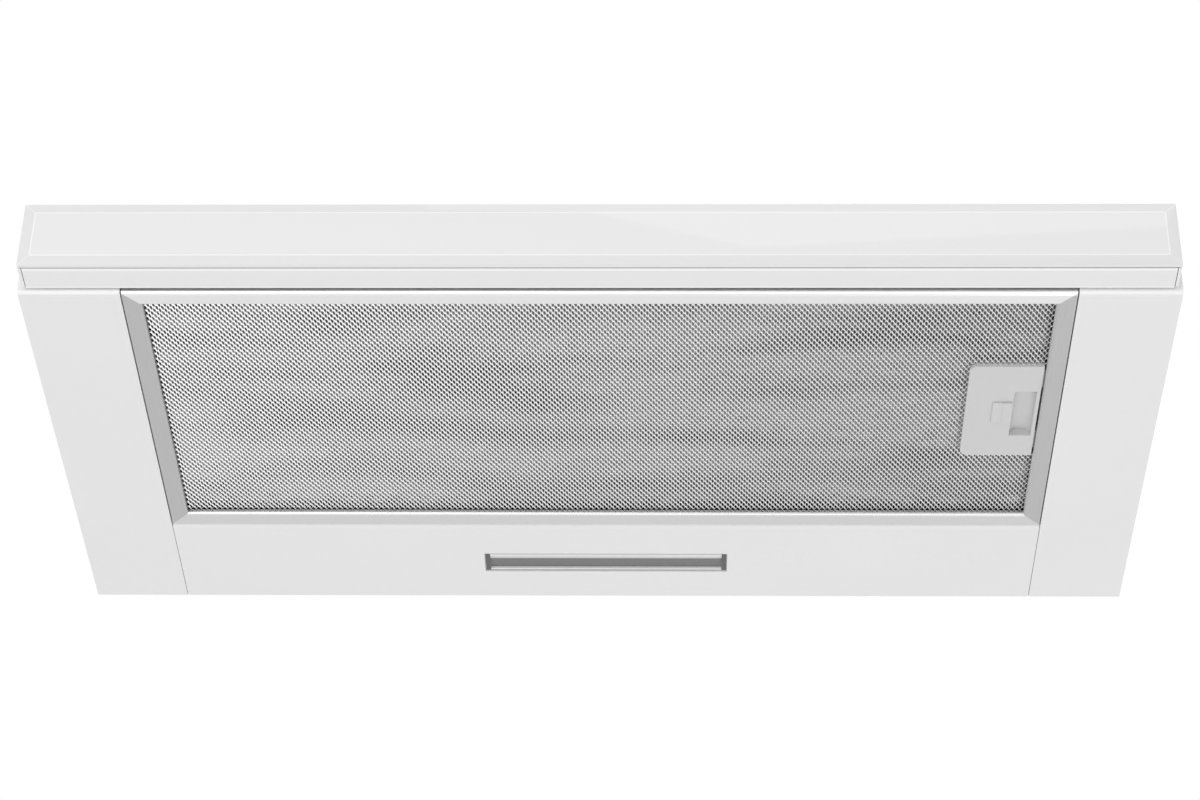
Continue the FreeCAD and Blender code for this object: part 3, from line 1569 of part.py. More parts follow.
def volute_base(floor_slab):
    """Floor of the blower in one moulding with its flared inlet and a guard over the mouth."""
    plain = doc.addObject("Part::Feature", "VoluteFloor")
    plain.Shape = floor_slab
    place(plain, blower_x, blower_y)
    wall = s.volute_wall
    level = plate_top
    through = cylinder("Mouth", bell_radius - wall / 2, blower_x, blower_y, level, level + wall)
    opened = subtract("OpenFloor", plain, through)
    bell = doc.addObject("PartDesign::Body", "Bell")
    place(bell, blower_x, blower_y, ZERO)
    mouth = bell_radius - wall
    bottom = level - s.inlet_bell_drop
    top = level + s.inlet_lip_rise
    turn(bell, [(mouth, bottom), (mouth + wall, bottom), (mouth + wall, level + wall),
                (inlet_radius + wall, level + wall), (inlet_radius + wall, top),
                (inlet_radius, top), (inlet_radius, level)])
    guard_top = bottom + s.guard_height
    count = int(s.guard_ring_count.value)
    step = mouth / (count + 1)
    for number in range(1, count + 1):
        radius = step * number
        ring = [(ZERO, ZERO, radius), (ZERO, ZERO, radius - s.guard_ring_width)]
        add(bell, "XY_Plane", ring, bottom, guard_top)
    spokes = int(s.guard_spoke_count.value)
    near = step - s.guard_ring_width / 2
    far = mouth + wall / 2
    half_spoke = s.guard_spoke_width / 2
    for number in range(spokes):
        angle = 2 * math.pi * number / spokes
        corners = []
        for reach, side in ((near, 1), (near, -1), (far, -1), (far, 1)):
            x = reach * math.cos(angle) - half_spoke * side * math.sin(angle)
            y = reach * math.sin(angle) + half_spoke * side * math.cos(angle)
            corners.append((x, y))
        add(bell, "XY_Plane", [corners], bottom, guard_top)
    keep(fuse("volute_base", [opened, bell]), "volute_base")


# Electrical parts


def electrical_parts():
    """Capacitor, driver and terminals to the right of the blower, and the cable's gland."""
    base = plate_top
    can = doc.addObject("Part::Cylinder", "capacitor")
    bind(can, "Radius", s.capacitor_radius)
    bind(can, "Height", s.capacitor_length)
    # Turned so that its axis lies along Y
    can.Placement = Placement(Vector(), Rotation(Vector(1, 0, 0), -90))
    blower_right = neck_radius + s.volute_wall * 2 + s.outlet_margin
    can_x = blower_right + s.capacitor_gap + s.capacitor_radius
    place(can, can_x, box_front + s.capacitor_front_gap, base + s.capacitor_radius)
    keep(can, "capacitor")
    can_right = can_x + s.capacitor_radius
    low = box_front + s.driver_front_gap
    block("led_driver", can_right + s.driver_gap, box_half - s.driver_side_gap,
          low, low + s.driver_depth, base + s.driver_height)
    left = can_right + s.terminal_box_gap
    right = box_half - s.terminal_box_side_gap
    high = box_back - s.terminal_box_back_gap
    low = high - s.terminal_box_depth
    top = base + s.terminal_box_height
    terminal = block("terminal_box", left, right, low, high, top)
    wall = s.terminal_box_wall
    cut(terminal, "XY_Plane", [rectangle(left + wall, right - wall, low + wall, high - wall)],
        base, top - wall)
    gland = new_body("cable_gland")
    place(gland, box_half - s.gland_side_inset, box_back - s.gland_back_inset, ZERO)
    nut = box_top + s.gland_nut_height
    turn(gland, [(s.gland_bore_radius, box_top - s.gland_nut_height),
                 (s.gland_stem_radius, box_top - s.gland_nut_height),
                 (s.gland_stem_radius, box_top), (s.gland_radius, box_top),
                 (s.gland_radius, nut), (s.gland_stem_radius, box_top + s.gland_height),
                 (s.gland_bore_radius, box_top + s.gland_height)])


def block(name, left, right, low, high, top):
    """A moulded block on the top plate, with rounded upper edges."""
    body = new_body(name)
    add(body, "XY_Plane", [rectangle(left, right, low, high)], plate_top, top)
    round_edges(body, s.driver_edge_radius, {"x": left, "z": top}, {"x": right, "z": top},
                {"y": low, "z": top}, {"y": high, "z": top})
    return body


def build():
    top_plate()
    side_wall("side_wall_left", -1)
    side_wall("side_wall_right", 1)
    rear_wall()
    side_cover("side_cover_left", -1)
    side_cover("side_cover_right", 1)
    lamp_panel()
    lamp_frame()
    lamp_diffuser()
    led_board()
    lamp_cover()
    filter_frame()
    filter_layer("filter_mesh", mesh_level, mesh_level + s.mesh_thickness)
    filter_layer("filter_core", mesh_level + s.mesh_thickness, pack_top)
    filter_hooks()
    latch_plate()
    latch_slider()
    latch_spring()
    slide_outer("slide_outer_left", -1)
    slide_outer("slide_outer_right", 1)
    slide_inner("slide_inner_left", -1)
    slide_inner("slide_inner_right", 1)
    group("slide_cages", [cage_strip(-1), cage_strip(1)])
    slide_balls()
    drawer_side("drawer_side_left", -1)
    drawer_side("drawer_side_right", 1)
    front_channel()
    rear_pan()
    drawer_filter()
    drawer_buffers()
    front_rail()
    end_cap("end_cap_left", -1)
    end_cap("end_cap_right", 1)
    glass_front()
    glass_tape()
    control_module()
    control_keys()
    motor_box()
    box_screws()
    collar_flange()
    duct_collar()
    flap_pin()
    flap("flap_front", -1)
    flap("flap_rear", 1)
    impeller()
    shaft()
    motor()
    motor_bracket()
    motor_bushes()
    volute_pieces()
    electrical_parts()


def check_and_write():
    """Stops on any failed object, and then writes each sub-part to its own file."""
    doc.recompute()
    for item in doc.Objects:
        if any(state in ("Invalid", "Error") for state in item.State):
            raise RuntimeError("%s is %s" % (item.Label, item.State))
    for item in sub_parts:
        if item.Shape.isNull() or not item.Shape.isValid() or not item.Shape.Solids:
            raise RuntimeError("%s has no valid solid" % item.Label)
    os.makedirs("parts", exist_ok=True)
    for item in sub_parts:
        item.Shape.exportStep("parts/%s.step" % item.Label)
    print("%d sub-parts written" % len(sub_parts))


build()
check_and_write()
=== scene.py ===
import math

import bmesh
import bpy
from mathutils import Matrix, Vector


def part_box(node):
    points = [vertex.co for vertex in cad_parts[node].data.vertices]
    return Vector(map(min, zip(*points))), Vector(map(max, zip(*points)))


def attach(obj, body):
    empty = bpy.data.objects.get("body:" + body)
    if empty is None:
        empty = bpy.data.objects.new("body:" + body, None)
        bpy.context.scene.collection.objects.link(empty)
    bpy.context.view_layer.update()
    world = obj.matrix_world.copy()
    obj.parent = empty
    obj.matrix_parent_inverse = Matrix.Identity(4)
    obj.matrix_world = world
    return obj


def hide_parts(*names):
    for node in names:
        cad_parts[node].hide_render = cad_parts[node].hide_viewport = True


# A built-in telescopic cooker hood, seen from below and in front, dressed over its CAD model.
# Lengths are in metres: X to the right, the glass faces -Y, Z up.

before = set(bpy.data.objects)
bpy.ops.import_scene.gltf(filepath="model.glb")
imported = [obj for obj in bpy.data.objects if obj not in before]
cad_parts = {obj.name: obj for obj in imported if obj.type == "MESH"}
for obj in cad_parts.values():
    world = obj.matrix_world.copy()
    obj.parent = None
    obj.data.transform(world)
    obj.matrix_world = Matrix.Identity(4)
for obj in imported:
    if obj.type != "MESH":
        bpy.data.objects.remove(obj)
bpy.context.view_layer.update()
MM = 0.001


# Zinc-coated steel: the lower box's top, sides and back, the motor box, and the ring that holds
# the motor. The sheet is hot-dip galvanised, so it has dull flat crystals of zinc about 7 mm
# across that differ a little in tone and shine.

ZINC_CRYSTAL = 7 * MM
ZINC_FROST = 1.2 * MM
ZINC_FROST_SHARE = 0.3
ZINC_DENT = 0.05 * MM


def linear(code):
    """A hex colour, written as sRGB, as the linear colour that a socket takes."""
    shares = [int(code[place:place + 2], 16) / 255 for place in (1, 3, 5)]
    return [share / 12.92 if share <= 0.04045 else ((share + 0.055) / 1.055) ** 2.4
            for share in shares] + [1.0]


def add(tree, kind, settings=None, **sockets):
    """Adds a node with its settings.

    A socket is named with _ for a space, or _ and its number, and takes a value or a link.
    """
    made = tree.nodes.new(kind)
    for name, value in (settings or {}).items():
        setattr(made, name, value)
    for name, value in sockets.items():
        key = int(name[1:]) if name[1:].isdigit() else name.replace("_", " ")
        if isinstance(value, bpy.types.NodeSocket):
            tree.links.new(value, made.inputs[key])
        else:
            made.inputs[key].default_value = value
    return made


def new_material(name):
    """An empty material, its node tree and the place on the piece that its patterns read."""
    material = bpy.data.materials.new(name)
    material.use_nodes = True
    tree = material.node_tree
    tree.nodes.clear()
    return material, tree, add(tree, "ShaderNodeTexCoord").outputs["Object"]


def close_material(tree, shader):
    add(tree, "ShaderNodeOutputMaterial", Surface=shader.outputs[0])


def dress(material, *names):
    """Gives CAD nodes a finish."""
    for name in names:
        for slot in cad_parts[name].material_slots:
            slot.material = material


def galvanised(name, light, dark):
    material, tree, place = new_material(name)
    crystals = add(tree, "ShaderNodeTexVoronoi", {"feature": "F1"},
                   Vector=place, Scale=1 / ZINC_CRYSTAL, Randomness=1.0)
    crystal = add(tree, "ShaderNodeSeparateColor", Color=crystals.outputs["Color"])
    frost = add(tree, "ShaderNodeTexNoise", Vector=place, Scale=1 / ZINC_FROST, Detail=2.0)
    blend = add(tree, "ShaderNodeMath", {"operation": "MULTIPLY_ADD"},
                _0=frost.outputs["Fac"], _1=ZINC_FROST_SHARE, _2=crystal.outputs["Red"])
    tone = add(tree, "ShaderNodeMix", {"data_type": "RGBA"},
               _0=blend.outputs[0], _6=linear(dark), _7=linear(light))
    gloss = add(tree, "ShaderNodeMapRange", Value=crystal.outputs["Green"],
                To_Min=0.34, To_Max=0.5)
    dents = add(tree, "ShaderNodeBump", Strength=0.25, Distance=ZINC_DENT,
                Height=frost.outputs["Fac"])
    close_material(tree, add(tree, "ShaderNodeBsdfPrincipled", Base_Color=tone.outputs[2],
                             Metallic=1.0, Roughness=gloss.outputs[0],
                             Normal=dents.outputs[0]))
    return material


zinc_sheet = galvanised("galvanised_sheet", "#C6C7C8", "#B2B4B5")
dress(zinc_sheet, "top_plate", "side_wall_left", "side_wall_right", "rear_wall", "motor_box",
      "motor_bracket")


# White powder coat over folded steel: the side covers, the lamp's panel, the rail behind the
# glass, and the drawer's channel, sides and pan. The coat is satin, and its surface has the
# shallow waves that such paint dries to, about 1.5 mm across.

COAT_DRIFT = 140 * MM
COAT_WAVE = 1.5 * MM
COAT_WAVE_DEPTH = 0.02 * MM


def powder_coat(name, light, dark):
    material, tree, place = new_material(name)
    drift = add(tree, "ShaderNodeTexNoise", Vector=place, Scale=1 / COAT_DRIFT, Detail=1.0)
    tone = add(tree, "ShaderNodeMix", {"data_type": "RGBA"},
               _0=drift.outputs["Fac"], _6=linear(dark), _7=linear(light))
    waves = add(tree, "ShaderNodeTexNoise", Vector=place, Scale=1 / COAT_WAVE, Detail=1.0)
    gloss = add(tree, "ShaderNodeMapRange", Value=waves.outputs["Fac"], To_Min=0.3, To_Max=0.38)
    skin = add(tree, "ShaderNodeBump", Strength=0.2, Distance=COAT_WAVE_DEPTH,
               Height=waves.outputs["Fac"])
    close_material(tree, add(tree, "ShaderNodeBsdfPrincipled", Base_Color=tone.outputs[2],
                             Roughness=gloss.outputs[0], IOR=1.5, Normal=skin.outputs[0]))
    return material


white_coat = powder_coat("white_powder_coat", "#EAEAEA", "#E5E5E5")
dress(white_coat, "side_cover_left", "side_cover_right", "lamp_panel", "front_rail",
      "front_channel", "drawer_side_left", "drawer_side_right", "rear_pan")


# Front hems of the side covers: each cover's front edge is folded back on itself, which leaves a
# round nose just behind the rail. The hems are painted whiter than the covers, as a painted
# highlight along the folds.

HEM_REACH = 0.6 * MM
HEM_NOSE = 1.8 * MM
HEM_LAP = 1.3 * MM
HEM_SKIN = 0.03 * MM
HEM_SEGMENTS = 6
SMOOTH_ANGLE = math.radians(40)


def start(adder, name, low, high):
    """Adds a primitive that fills a box, with its place in its mesh, and leaves it active."""
    bpy.ops.object.select_all(action="DESELECT")
    adder()
    piece = bpy.context.active_object
    piece.name = piece.data.name = name
    piece.scale = [b - a for a, b in zip(low, high)]
    piece.location = [(a + b) / 2 for a, b in zip(low, high)]
    bpy.ops.object.transform_apply(location=True, rotation=True, scale=True)
    return piece


def unit_cube():
    bpy.ops.mesh.primitive_cube_add(size=1)


def select(kind, test):
    """Selects, in edit mode, the vertices, edges or faces of the active mesh that pass a test."""
    bpy.ops.mesh.select_mode(type={"verts": "VERT", "edges": "EDGE", "faces": "FACE"}[kind])
    mesh = bmesh.from_edit_mesh(bpy.context.active_object.data)
    bpy.ops.mesh.select_all(action="DESELECT")
    for item in getattr(mesh, kind):
        item.select_set(test(item))
    mesh.select_flush_mode()
    bmesh.update_edit_mesh(bpy.context.active_object.data)


def finish(piece, body, slot, material, *nodes):
    """Names a finished piece's body and finish, and the CAD nodes that it stands for; its slot is
    not used.
    """
    piece.data.materials.clear()
    piece.data.materials.append(material)
    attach(piece, body)
    if nodes:
        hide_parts(*nodes)


def round_edges(test, radius, segments):
    """Rounds the edges of the active piece that pass a test, and smooths all but its corners."""
    bpy.ops.object.mode_set(mode="EDIT")
    select("edges", test)
    bpy.ops.mesh.bevel(offset=radius, segments=segments)
    bpy.ops.object.mode_set(mode="OBJECT")
    bpy.ops.object.shade_smooth_by_angle(angle=SMOOTH_ANGLE)


def front_hem(name, low, high):
    """A bar along the front of a folded sheet whose lower front edge is round."""
    hem = start(unit_cube, name, (low.x, low.y - HEM_REACH, low.z - HEM_SKIN),
                (high.x, low.y + HEM_LAP, high.z))
    round_edges(lambda edge: all(vert.co.y < low.y and vert.co.z < low.z for vert in edge.verts),
                HEM_NOSE, HEM_SEGMENTS)
    return hem


# Painted highlight: a whiter coat for the hems and the rail's folds.
highlight_coat = powder_coat("painted_highlight_powder_coat", "#F5F5F5", "#F1F1F1")
for side in ("left", "right"):
    low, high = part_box("side_cover_" + side)
    hem = front_hem("cover_hem_" + side, low, high)
    finish(hem, "housing", "white_paint", highlight_coat)


# Folds under the rail: the sheet is folded over tightly along both lower edges, behind the glass
# and in front of the covers. The front one and the rear one's lip are painted whiter, as painted
# highlights.

RAIL_BEND = 2.2 * MM
FOLD_HEIGHT = 2.2 * MM
FRONT_FOLD_SETBACK = 0.3 * MM
REAR_FOLD_REACH = 0.6 * MM
REAR_LIP_DEPTH = 1.5 * MM
FOLD_ROUND = 0.5 * MM
FOLD_SEGMENTS = 4
NEAR = 1 * MM

low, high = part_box("front_rail")
rear = high.y + REAR_FOLD_REACH
# The front fold and the rear lip take the painted highlight coat.
for name, y_low, y_high, level, coat in (
        ("rail_front_fold", low.y + FRONT_FOLD_SETBACK, low.y + RAIL_BEND, low.z, highlight_coat),
        ("rail_rear_fold", high.y - RAIL_BEND, rear, low.z, white_coat),
        ("rail_rear_lip", rear - REAR_LIP_DEPTH, rear, low.z - HEM_SKIN, highlight_coat)):
    fold = start(unit_cube, name, (low.x, y_low, level), (high.x, y_high, level + FOLD_HEIGHT))
    # Only the lower edge that faces out, in front or behind, is rounded.
    round_edges(lambda edge: all(
        vert.co.z < low.z + NEAR and not low.y + NEAR < vert.co.y < high.y
        for vert in edge.verts), FOLD_ROUND, FOLD_SEGMENTS)
    finish(fold, "drawer", "white_paint", coat)


# Glass front: a 3 mm pane of clear float glass with a shallow bevel ground along all four
# edges, painted white on its back. The paint shows through the glass; the bevel's slope is painted
# a little greyer as painted shade, and the lines between slope and face and at the corners are
# painted lighter as painted highlights.

BEVEL_WIDTH = 6 * MM
BEVEL_DEPTH = 0.7 * MM
ARRIS = 0.12 * MM
ARRIS_SEGMENTS = 2
ARRIS_ANGLE = math.radians(30)
GLASS_SMOOTHING = math.radians(20)
LINE_WIDTH = 0.7 * MM
LINE_START = 0.34
LINE_MIDDLE = 0.5
LINE_END = 0.66
MITRE_WIDTH = 0.8 * MM


def modify(piece, kind, **settings):
    """Adds a modifier and applies it."""
    modifier = piece.modifiers.new(kind.title(), kind)
    for name, value in settings.items():
        setattr(modifier, name, value)
    bpy.ops.object.modifier_apply(modifier=modifier.name)


low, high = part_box("glass_front")
pane = start(unit_cube, "glass_pane", low, high)
bpy.ops.object.mode_set(mode="EDIT")
select("faces", lambda face: face.normal.y < -0.5)
bpy.ops.mesh.inset(thickness=BEVEL_WIDTH, depth=0)
select("verts", lambda vert: vert.co.y < low.y + NEAR and (
    vert.co.x < low.x + NEAR or vert.co.x > high.x - NEAR
    or vert.co.z < low.z + NEAR or vert.co.z > high.z - NEAR))
bpy.ops.transform.translate(value=(0, BEVEL_DEPTH, 0))
bpy.ops.object.mode_set(mode="OBJECT")
modify(pane, "BEVEL", width=ARRIS, segments=ARRIS_SEGMENTS, limit_method="ANGLE",
       angle_limit=ARRIS_ANGLE)
bpy.ops.object.shade_smooth_by_angle(angle=GLASS_SMOOTHING)

material, tree, place = new_material("white_backed_glass")
middle = (low + high) / 2
centred = add(tree, "ShaderNodeMapping", Vector=place, Location=-middle)
axes = add(tree, "ShaderNodeSeparateXYZ", Vector=centred.outputs[0])
across = add(tree, "ShaderNodeMath", {"operation": "ABSOLUTE"}, _0=axes.outputs["X"])
along = add(tree, "ShaderNodeMath", {"operation": "ABSOLUTE"}, _0=axes.outputs["Z"])
half_x = (high.x - low.x) / 2 - BEVEL_WIDTH
half_z = (high.z - low.z) / 2 - BEVEL_WIDTH
beyond_x = add(tree, "ShaderNodeMath", {"operation": "SUBTRACT"}, _0=across.outputs[0], _1=half_x)
beyond_z = add(tree, "ShaderNodeMath", {"operation": "SUBTRACT"}, _0=along.outputs[0], _1=half_z)
beyond = add(tree, "ShaderNodeMath", {"operation": "MAXIMUM"},
             _0=beyond_x.outputs[0], _1=beyond_z.outputs[0])
tones = add(tree, "ShaderNodeValToRGB", Fac=add(
    tree, "ShaderNodeMapRange", Value=beyond.outputs[0],
    From_Min=-2 * LINE_WIDTH, From_Max=2 * LINE_WIDTH).outputs[0])
# Painted tones by distance from the bevel's inner edge: the face, a painted highlight line between
# slope and face, and the slope a little greyer as painted shade.
stops = tones.color_ramp
stops.elements[0].position = LINE_START
stops.elements[0].color = linear("#EAEAEA")
stops.elements[1].position = LINE_END
stops.elements[1].color = linear("#E5E5E5")
line = stops.elements.new(LINE_MIDDLE)
line.color = linear("#FDFDFD")
# Painted highlight along the mitres at the bevel's corners.
apart = add(tree, "ShaderNodeMath", {"operation": "SUBTRACT"},
            _0=beyond_x.outputs[0], _1=beyond_z.outputs[0])
corner = add(tree, "ShaderNodeMath", {"operation": "COMPARE"},
             _0=apart.outputs[0], _1=0.0, _2=MITRE_WIDTH / 2)
slope = add(tree, "ShaderNodeMath", {"operation": "GREATER_THAN"}, _0=beyond.outputs[0], _1=0.0)
mitre = add(tree, "ShaderNodeMath", {"operation": "MULTIPLY"},
            _0=corner.outputs[0], _1=slope.outputs[0])
tone = add(tree, "ShaderNodeMix", {"data_type": "RGBA"},
           _0=mitre.outputs[0], _6=tones.outputs[0], _7=linear("#EDEDED"))
close_material(tree, add(tree, "ShaderNodeBsdfPrincipled", Base_Color=tone.outputs[2],
                         Roughness=0.04, IOR=1.52))
finish(pane, "drawer", "white_glass", material, "glass_front")


# Mouldings: white ABS (end caps, keys, the lamp's driver), grey ABS (the light bar's cover, the
# control and terminal boxes), light grey ABS (the latch) and dark grey polypropylene (blower,
# collar, flaps). The matt grain of the mould, 0.1 mm in life, is drawn 0.6 to 0.8 mm wide to show.

MOULD_DRIFT = 40 * MM
MATT_SPREAD = 0.05


def moulded(name, light, dark, grain, roughness, depth):
    """A matt surface with grain of one width and depth; rubber, foam and paint use it too."""
    material, tree, place = new_material(name)
    drift = add(tree, "ShaderNodeTexNoise", Vector=place, Scale=1 / MOULD_DRIFT, Detail=1.0)
    tone = add(tree, "ShaderNodeMix", {"data_type": "RGBA"},
               _0=drift.outputs["Fac"], _6=linear(dark), _7=linear(light))
    pits = add(tree, "ShaderNodeTexNoise", Vector=place, Scale=1 / grain, Detail=2.0)
    gloss = add(tree, "ShaderNodeMapRange", Value=pits.outputs["Fac"],
                To_Min=roughness - MATT_SPREAD, To_Max=roughness + MATT_SPREAD)
    skin = add(tree, "ShaderNodeBump", Strength=0.4, Distance=depth, Height=pits.outputs["Fac"])
    close_material(tree, add(tree, "ShaderNodeBsdfPrincipled", Base_Color=tone.outputs[2],
                             Roughness=gloss.outputs[0], IOR=1.53, Normal=skin.outputs[0]))
    return material


white_abs = moulded("white_abs", "#ECECEC", "#E7E7E7",
                    grain=0.8 * MM, roughness=0.3, depth=0.01 * MM)
grey_abs = moulded("grey_abs", "#A9ABAC", "#A0A2A3",
                   grain=0.6 * MM, roughness=0.5, depth=0.03 * MM)
latch_abs = moulded("light_grey_abs", "#D0D0D0", "#CBCBCB",
                    grain=0.6 * MM, roughness=0.42, depth=0.02 * MM)
dark_plastic = moulded("dark_polypropylene", "#3C3E41", "#333538",
                       grain=0.7 * MM, roughness=0.48, depth=0.04 * MM)
dress(white_abs, "end_cap_left", "end_cap_right", "led_driver",
      *["key_%d" % number for number in range(1, 6)])
dress(grey_abs, "lamp_cover", "control_module", "terminal_box")
dress(latch_abs, "latch_plate", "latch_slider")
dress(dark_plastic, "duct_collar", "collar_flange", "flap_front", "flap_rear", "volute_shell",
      "volute_base", "impeller", "cable_gland")


# Light bar: a clear polycarbonate frame with polished lips, its outer rim painted grey as painted
# shade of the opening's edge and its ends painted dark, a frosted window, unlit and grey, whose
# front edge is clear, and behind it a white board with nine diodes whose yellow phosphor shows
# as small squares.

LAMP_DARK_END_LENGTH = 2.6 * MM
LAMP_SHADE_RIM_WIDTH = 0.9 * MM
LAMP_EDGE_WIDTH = 4.4 * MM
LAMP_FLOW = 12 * MM
LAMP_FROST = 0.8 * MM
LAMP_FROST_DEPTH = 0.02 * MM
DIODE_HEIGHT = 0.2 * MM

low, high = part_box("lamp_frame")
material, tree, place = new_material("clear_polycarbonate")
axes = add(tree, "ShaderNodeSeparateXYZ", Vector=place)
across = add(tree, "ShaderNodeMath", {"operation": "ABSOLUTE"}, _0=axes.outputs["X"])
# The frame's ends are painted dark.
dark_end = add(tree, "ShaderNodeMath", {"operation": "GREATER_THAN"},
           _0=across.outputs[0], _1=high.x - LAMP_DARK_END_LENGTH)
flow = add(tree, "ShaderNodeTexNoise", Vector=place, Scale=1 / LAMP_FLOW, Detail=1.0)
clear = add(tree, "ShaderNodeMix", {"data_type": "RGBA"},
            _0=flow.outputs["Fac"], _6=linear("#E0E0E0"), _7=linear("#EAEAEA"))
centred = add(tree, "ShaderNodeMath", {"operation": "SUBTRACT"},
              _0=axes.outputs["Y"], _1=(low.y + high.y) / 2)
along = add(tree, "ShaderNodeMath", {"operation": "ABSOLUTE"}, _0=centred.outputs[0])
# Painted shade: the frame's outer rim is painted grey, for the shade at the opening's edge.
shade_rim = add(tree, "ShaderNodeMath", {"operation": "GREATER_THAN"},
          _0=along.outputs[0], _1=(high.y - low.y) / 2 - LAMP_SHADE_RIM_WIDTH)
body = add(tree, "ShaderNodeMix", {"data_type": "RGBA"},
           _0=shade_rim.outputs[0], _6=clear.outputs[2], _7=linear("#A6A6A6"))
tone = add(tree, "ShaderNodeMix", {"data_type": "RGBA"},
           _0=dark_end.outputs[0], _6=body.outputs[2], _7=linear("#4E4E4E"))
close_material(tree, add(tree, "ShaderNodeBsdfPrincipled", Base_Color=tone.outputs[2],
                         Roughness=0.12, IOR=1.58))
dress(material, "lamp_frame")

material, tree, place = new_material("frosted_polycarbonate")
frost = add(tree, "ShaderNodeTexNoise", Vector=place, Scale=1 / LAMP_FROST, Detail=2.0)
window = add(tree, "ShaderNodeMix", {"data_type": "RGBA"},
             _0=frost.outputs["Fac"], _6=linear("#6C6C6C"), _7=linear("#747474"))
axes = add(tree, "ShaderNodeSeparateXYZ", Vector=place)
edge = add(tree, "ShaderNodeMath", {"operation": "LESS_THAN"},
           _0=axes.outputs["Y"], _1=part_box("lamp_diffuser")[0].y + LAMP_EDGE_WIDTH)
tone = add(tree, "ShaderNodeMix", {"data_type": "RGBA"},
           _0=edge.outputs[0], _6=window.outputs[2], _7=linear("#D0D0D0"))
skin = add(tree, "ShaderNodeBump", Strength=0.3, Distance=LAMP_FROST_DEPTH,
           Height=frost.outputs["Fac"])
close_material(tree, add(tree, "ShaderNodeBsdfPrincipled", Base_Color=tone.outputs[2],
                         Roughness=0.45, IOR=1.58, Normal=skin.outputs[0]))
dress(material, "lamp_diffuser")

material, tree, place = new_material("circuit_board")
axes = add(tree, "ShaderNodeSeparateXYZ", Vector=place)
diode = add(tree, "ShaderNodeMath", {"operation": "LESS_THAN"},
            _0=axes.outputs["Z"], _1=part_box("led_board")[0].z + DIODE_HEIGHT)
tone = add(tree, "ShaderNodeMix", {"data_type": "RGBA"},
           _0=diode.outputs[0], _6=linear("#E9ECE8"), _7=linear("#E8C84A"))
close_material(tree, add(tree, "ShaderNodeBsdfPrincipled", Base_Color=tone.outputs[2],
                         Roughness=0.35, IOR=1.5))
dress(material, "led_board")


# Bright metal: zinc-plated steel (the ball slides and their cages, pin, screws, hooks, spring and
# shaft) and the capacitor's drawn aluminium can keep faint marks along the way they were rolled
# or drawn. The balls of the slides are bearing steel, polished, whose marks run no way.

MARK_SPREAD = 0.06
MARK_DEPTH = 0.01 * MM


def drawn_metal(name, light, dark, roughness, mark_width, stretch):
    """Metal whose marks are mark_width wide and run along the axis with the small stretch."""
    material, tree, place = new_material(name)
    squeezed = add(tree, "ShaderNodeMapping", Vector=place, Scale=stretch)
    marks = add(tree, "ShaderNodeTexNoise", Vector=squeezed.outputs[0], Scale=1 / mark_width,
                Detail=3.0)
    tone = add(tree, "ShaderNodeMix", {"data_type": "RGBA"},
               _0=marks.outputs["Fac"], _6=linear(dark), _7=linear(light))
    gloss = add(tree, "ShaderNodeMapRange", Value=marks.outputs["Fac"],
                To_Min=roughness - MARK_SPREAD, To_Max=roughness + MARK_SPREAD)
    skin = add(tree, "ShaderNodeBump", Strength=0.15, Distance=MARK_DEPTH,
               Height=marks.outputs["Fac"])
    close_material(tree, add(tree, "ShaderNodeBsdfPrincipled", Base_Color=tone.outputs[2],
                             Metallic=1.0, Roughness=gloss.outputs[0], Normal=skin.outputs[0]))
    return material


plated = drawn_metal("zinc_plated_steel", "#C9CBCD", "#B4B7BA",
                     roughness=0.3, mark_width=0.8 * MM, stretch=(1, 0.03, 1))
dress(plated, "slide_outer_left", "slide_outer_right", "slide_inner_left", "slide_inner_right",
      "slide_cages", "filter_hooks", "latch_spring", "flap_pin", "box_screws", "motor_shaft")
polished = drawn_metal("bearing_steel", "#D8DADC", "#CFD2D4",
                       roughness=0.12, mark_width=0.5 * MM, stretch=(1, 1, 1))
dress(polished, "slide_balls")
drawn_can = drawn_metal("drawn_aluminium", "#CDCFD1", "#C2C4C6",
                        roughness=0.3, mark_width=0.6 * MM, stretch=(1, 0.02, 1))
dress(drawn_can, "capacitor")


# Rubber and foam: the drawer's stops and the motor's bushes are black rubber, and the tape
# that holds the glass is grey acrylic foam.

rubber = moulded("black_rubber", "#242424", "#1C1C1C",
                 grain=1.0 * MM, roughness=0.7, depth=0.05 * MM)
dress(rubber, "drawer_buffers", "motor_bushes")
foam = moulded("acrylic_foam", "#8C8C8C", "#7E7E7E",
               grain=0.4 * MM, roughness=0.85, depth=0.1 * MM)
dress(foam, "glass_tape")


# Seal under the glass: a thin bead of grey silicone, pressed along the foot of the pane into
# the groove between its back and the rail's bend. Its grey is painted shade: it darkens the gap
# between glass and rail.

SEAL_REACH = 1.0 * MM
SEAL_DEPTH = 0.45 * MM
SEAL_HEIGHT = 2.2 * MM
SEAL_END = 0.4 * MM
SEAL_ARRIS = 0.1 * MM

low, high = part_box("glass_front")
seal = start(unit_cube, "glass_seal", (low.x + SEAL_END, high.y, low.z + SEAL_DEPTH),
             (high.x - SEAL_END, high.y + SEAL_REACH, low.z + SEAL_DEPTH + SEAL_HEIGHT))
bpy.ops.object.mode_set(mode="EDIT")
select("verts", lambda vert: vert.co.y > high.y + SEAL_REACH / 2
       and vert.co.z > low.z + SEAL_DEPTH + SEAL_HEIGHT / 2)
bpy.ops.transform.translate(value=(0, SEAL_DEPTH - SEAL_REACH, 0))
bpy.ops.object.mode_set(mode="OBJECT")
modify(seal, "BEVEL", width=SEAL_ARRIS, segments=ARRIS_SEGMENTS, limit_method="ANGLE",
       angle_limit=ARRIS_ANGLE)
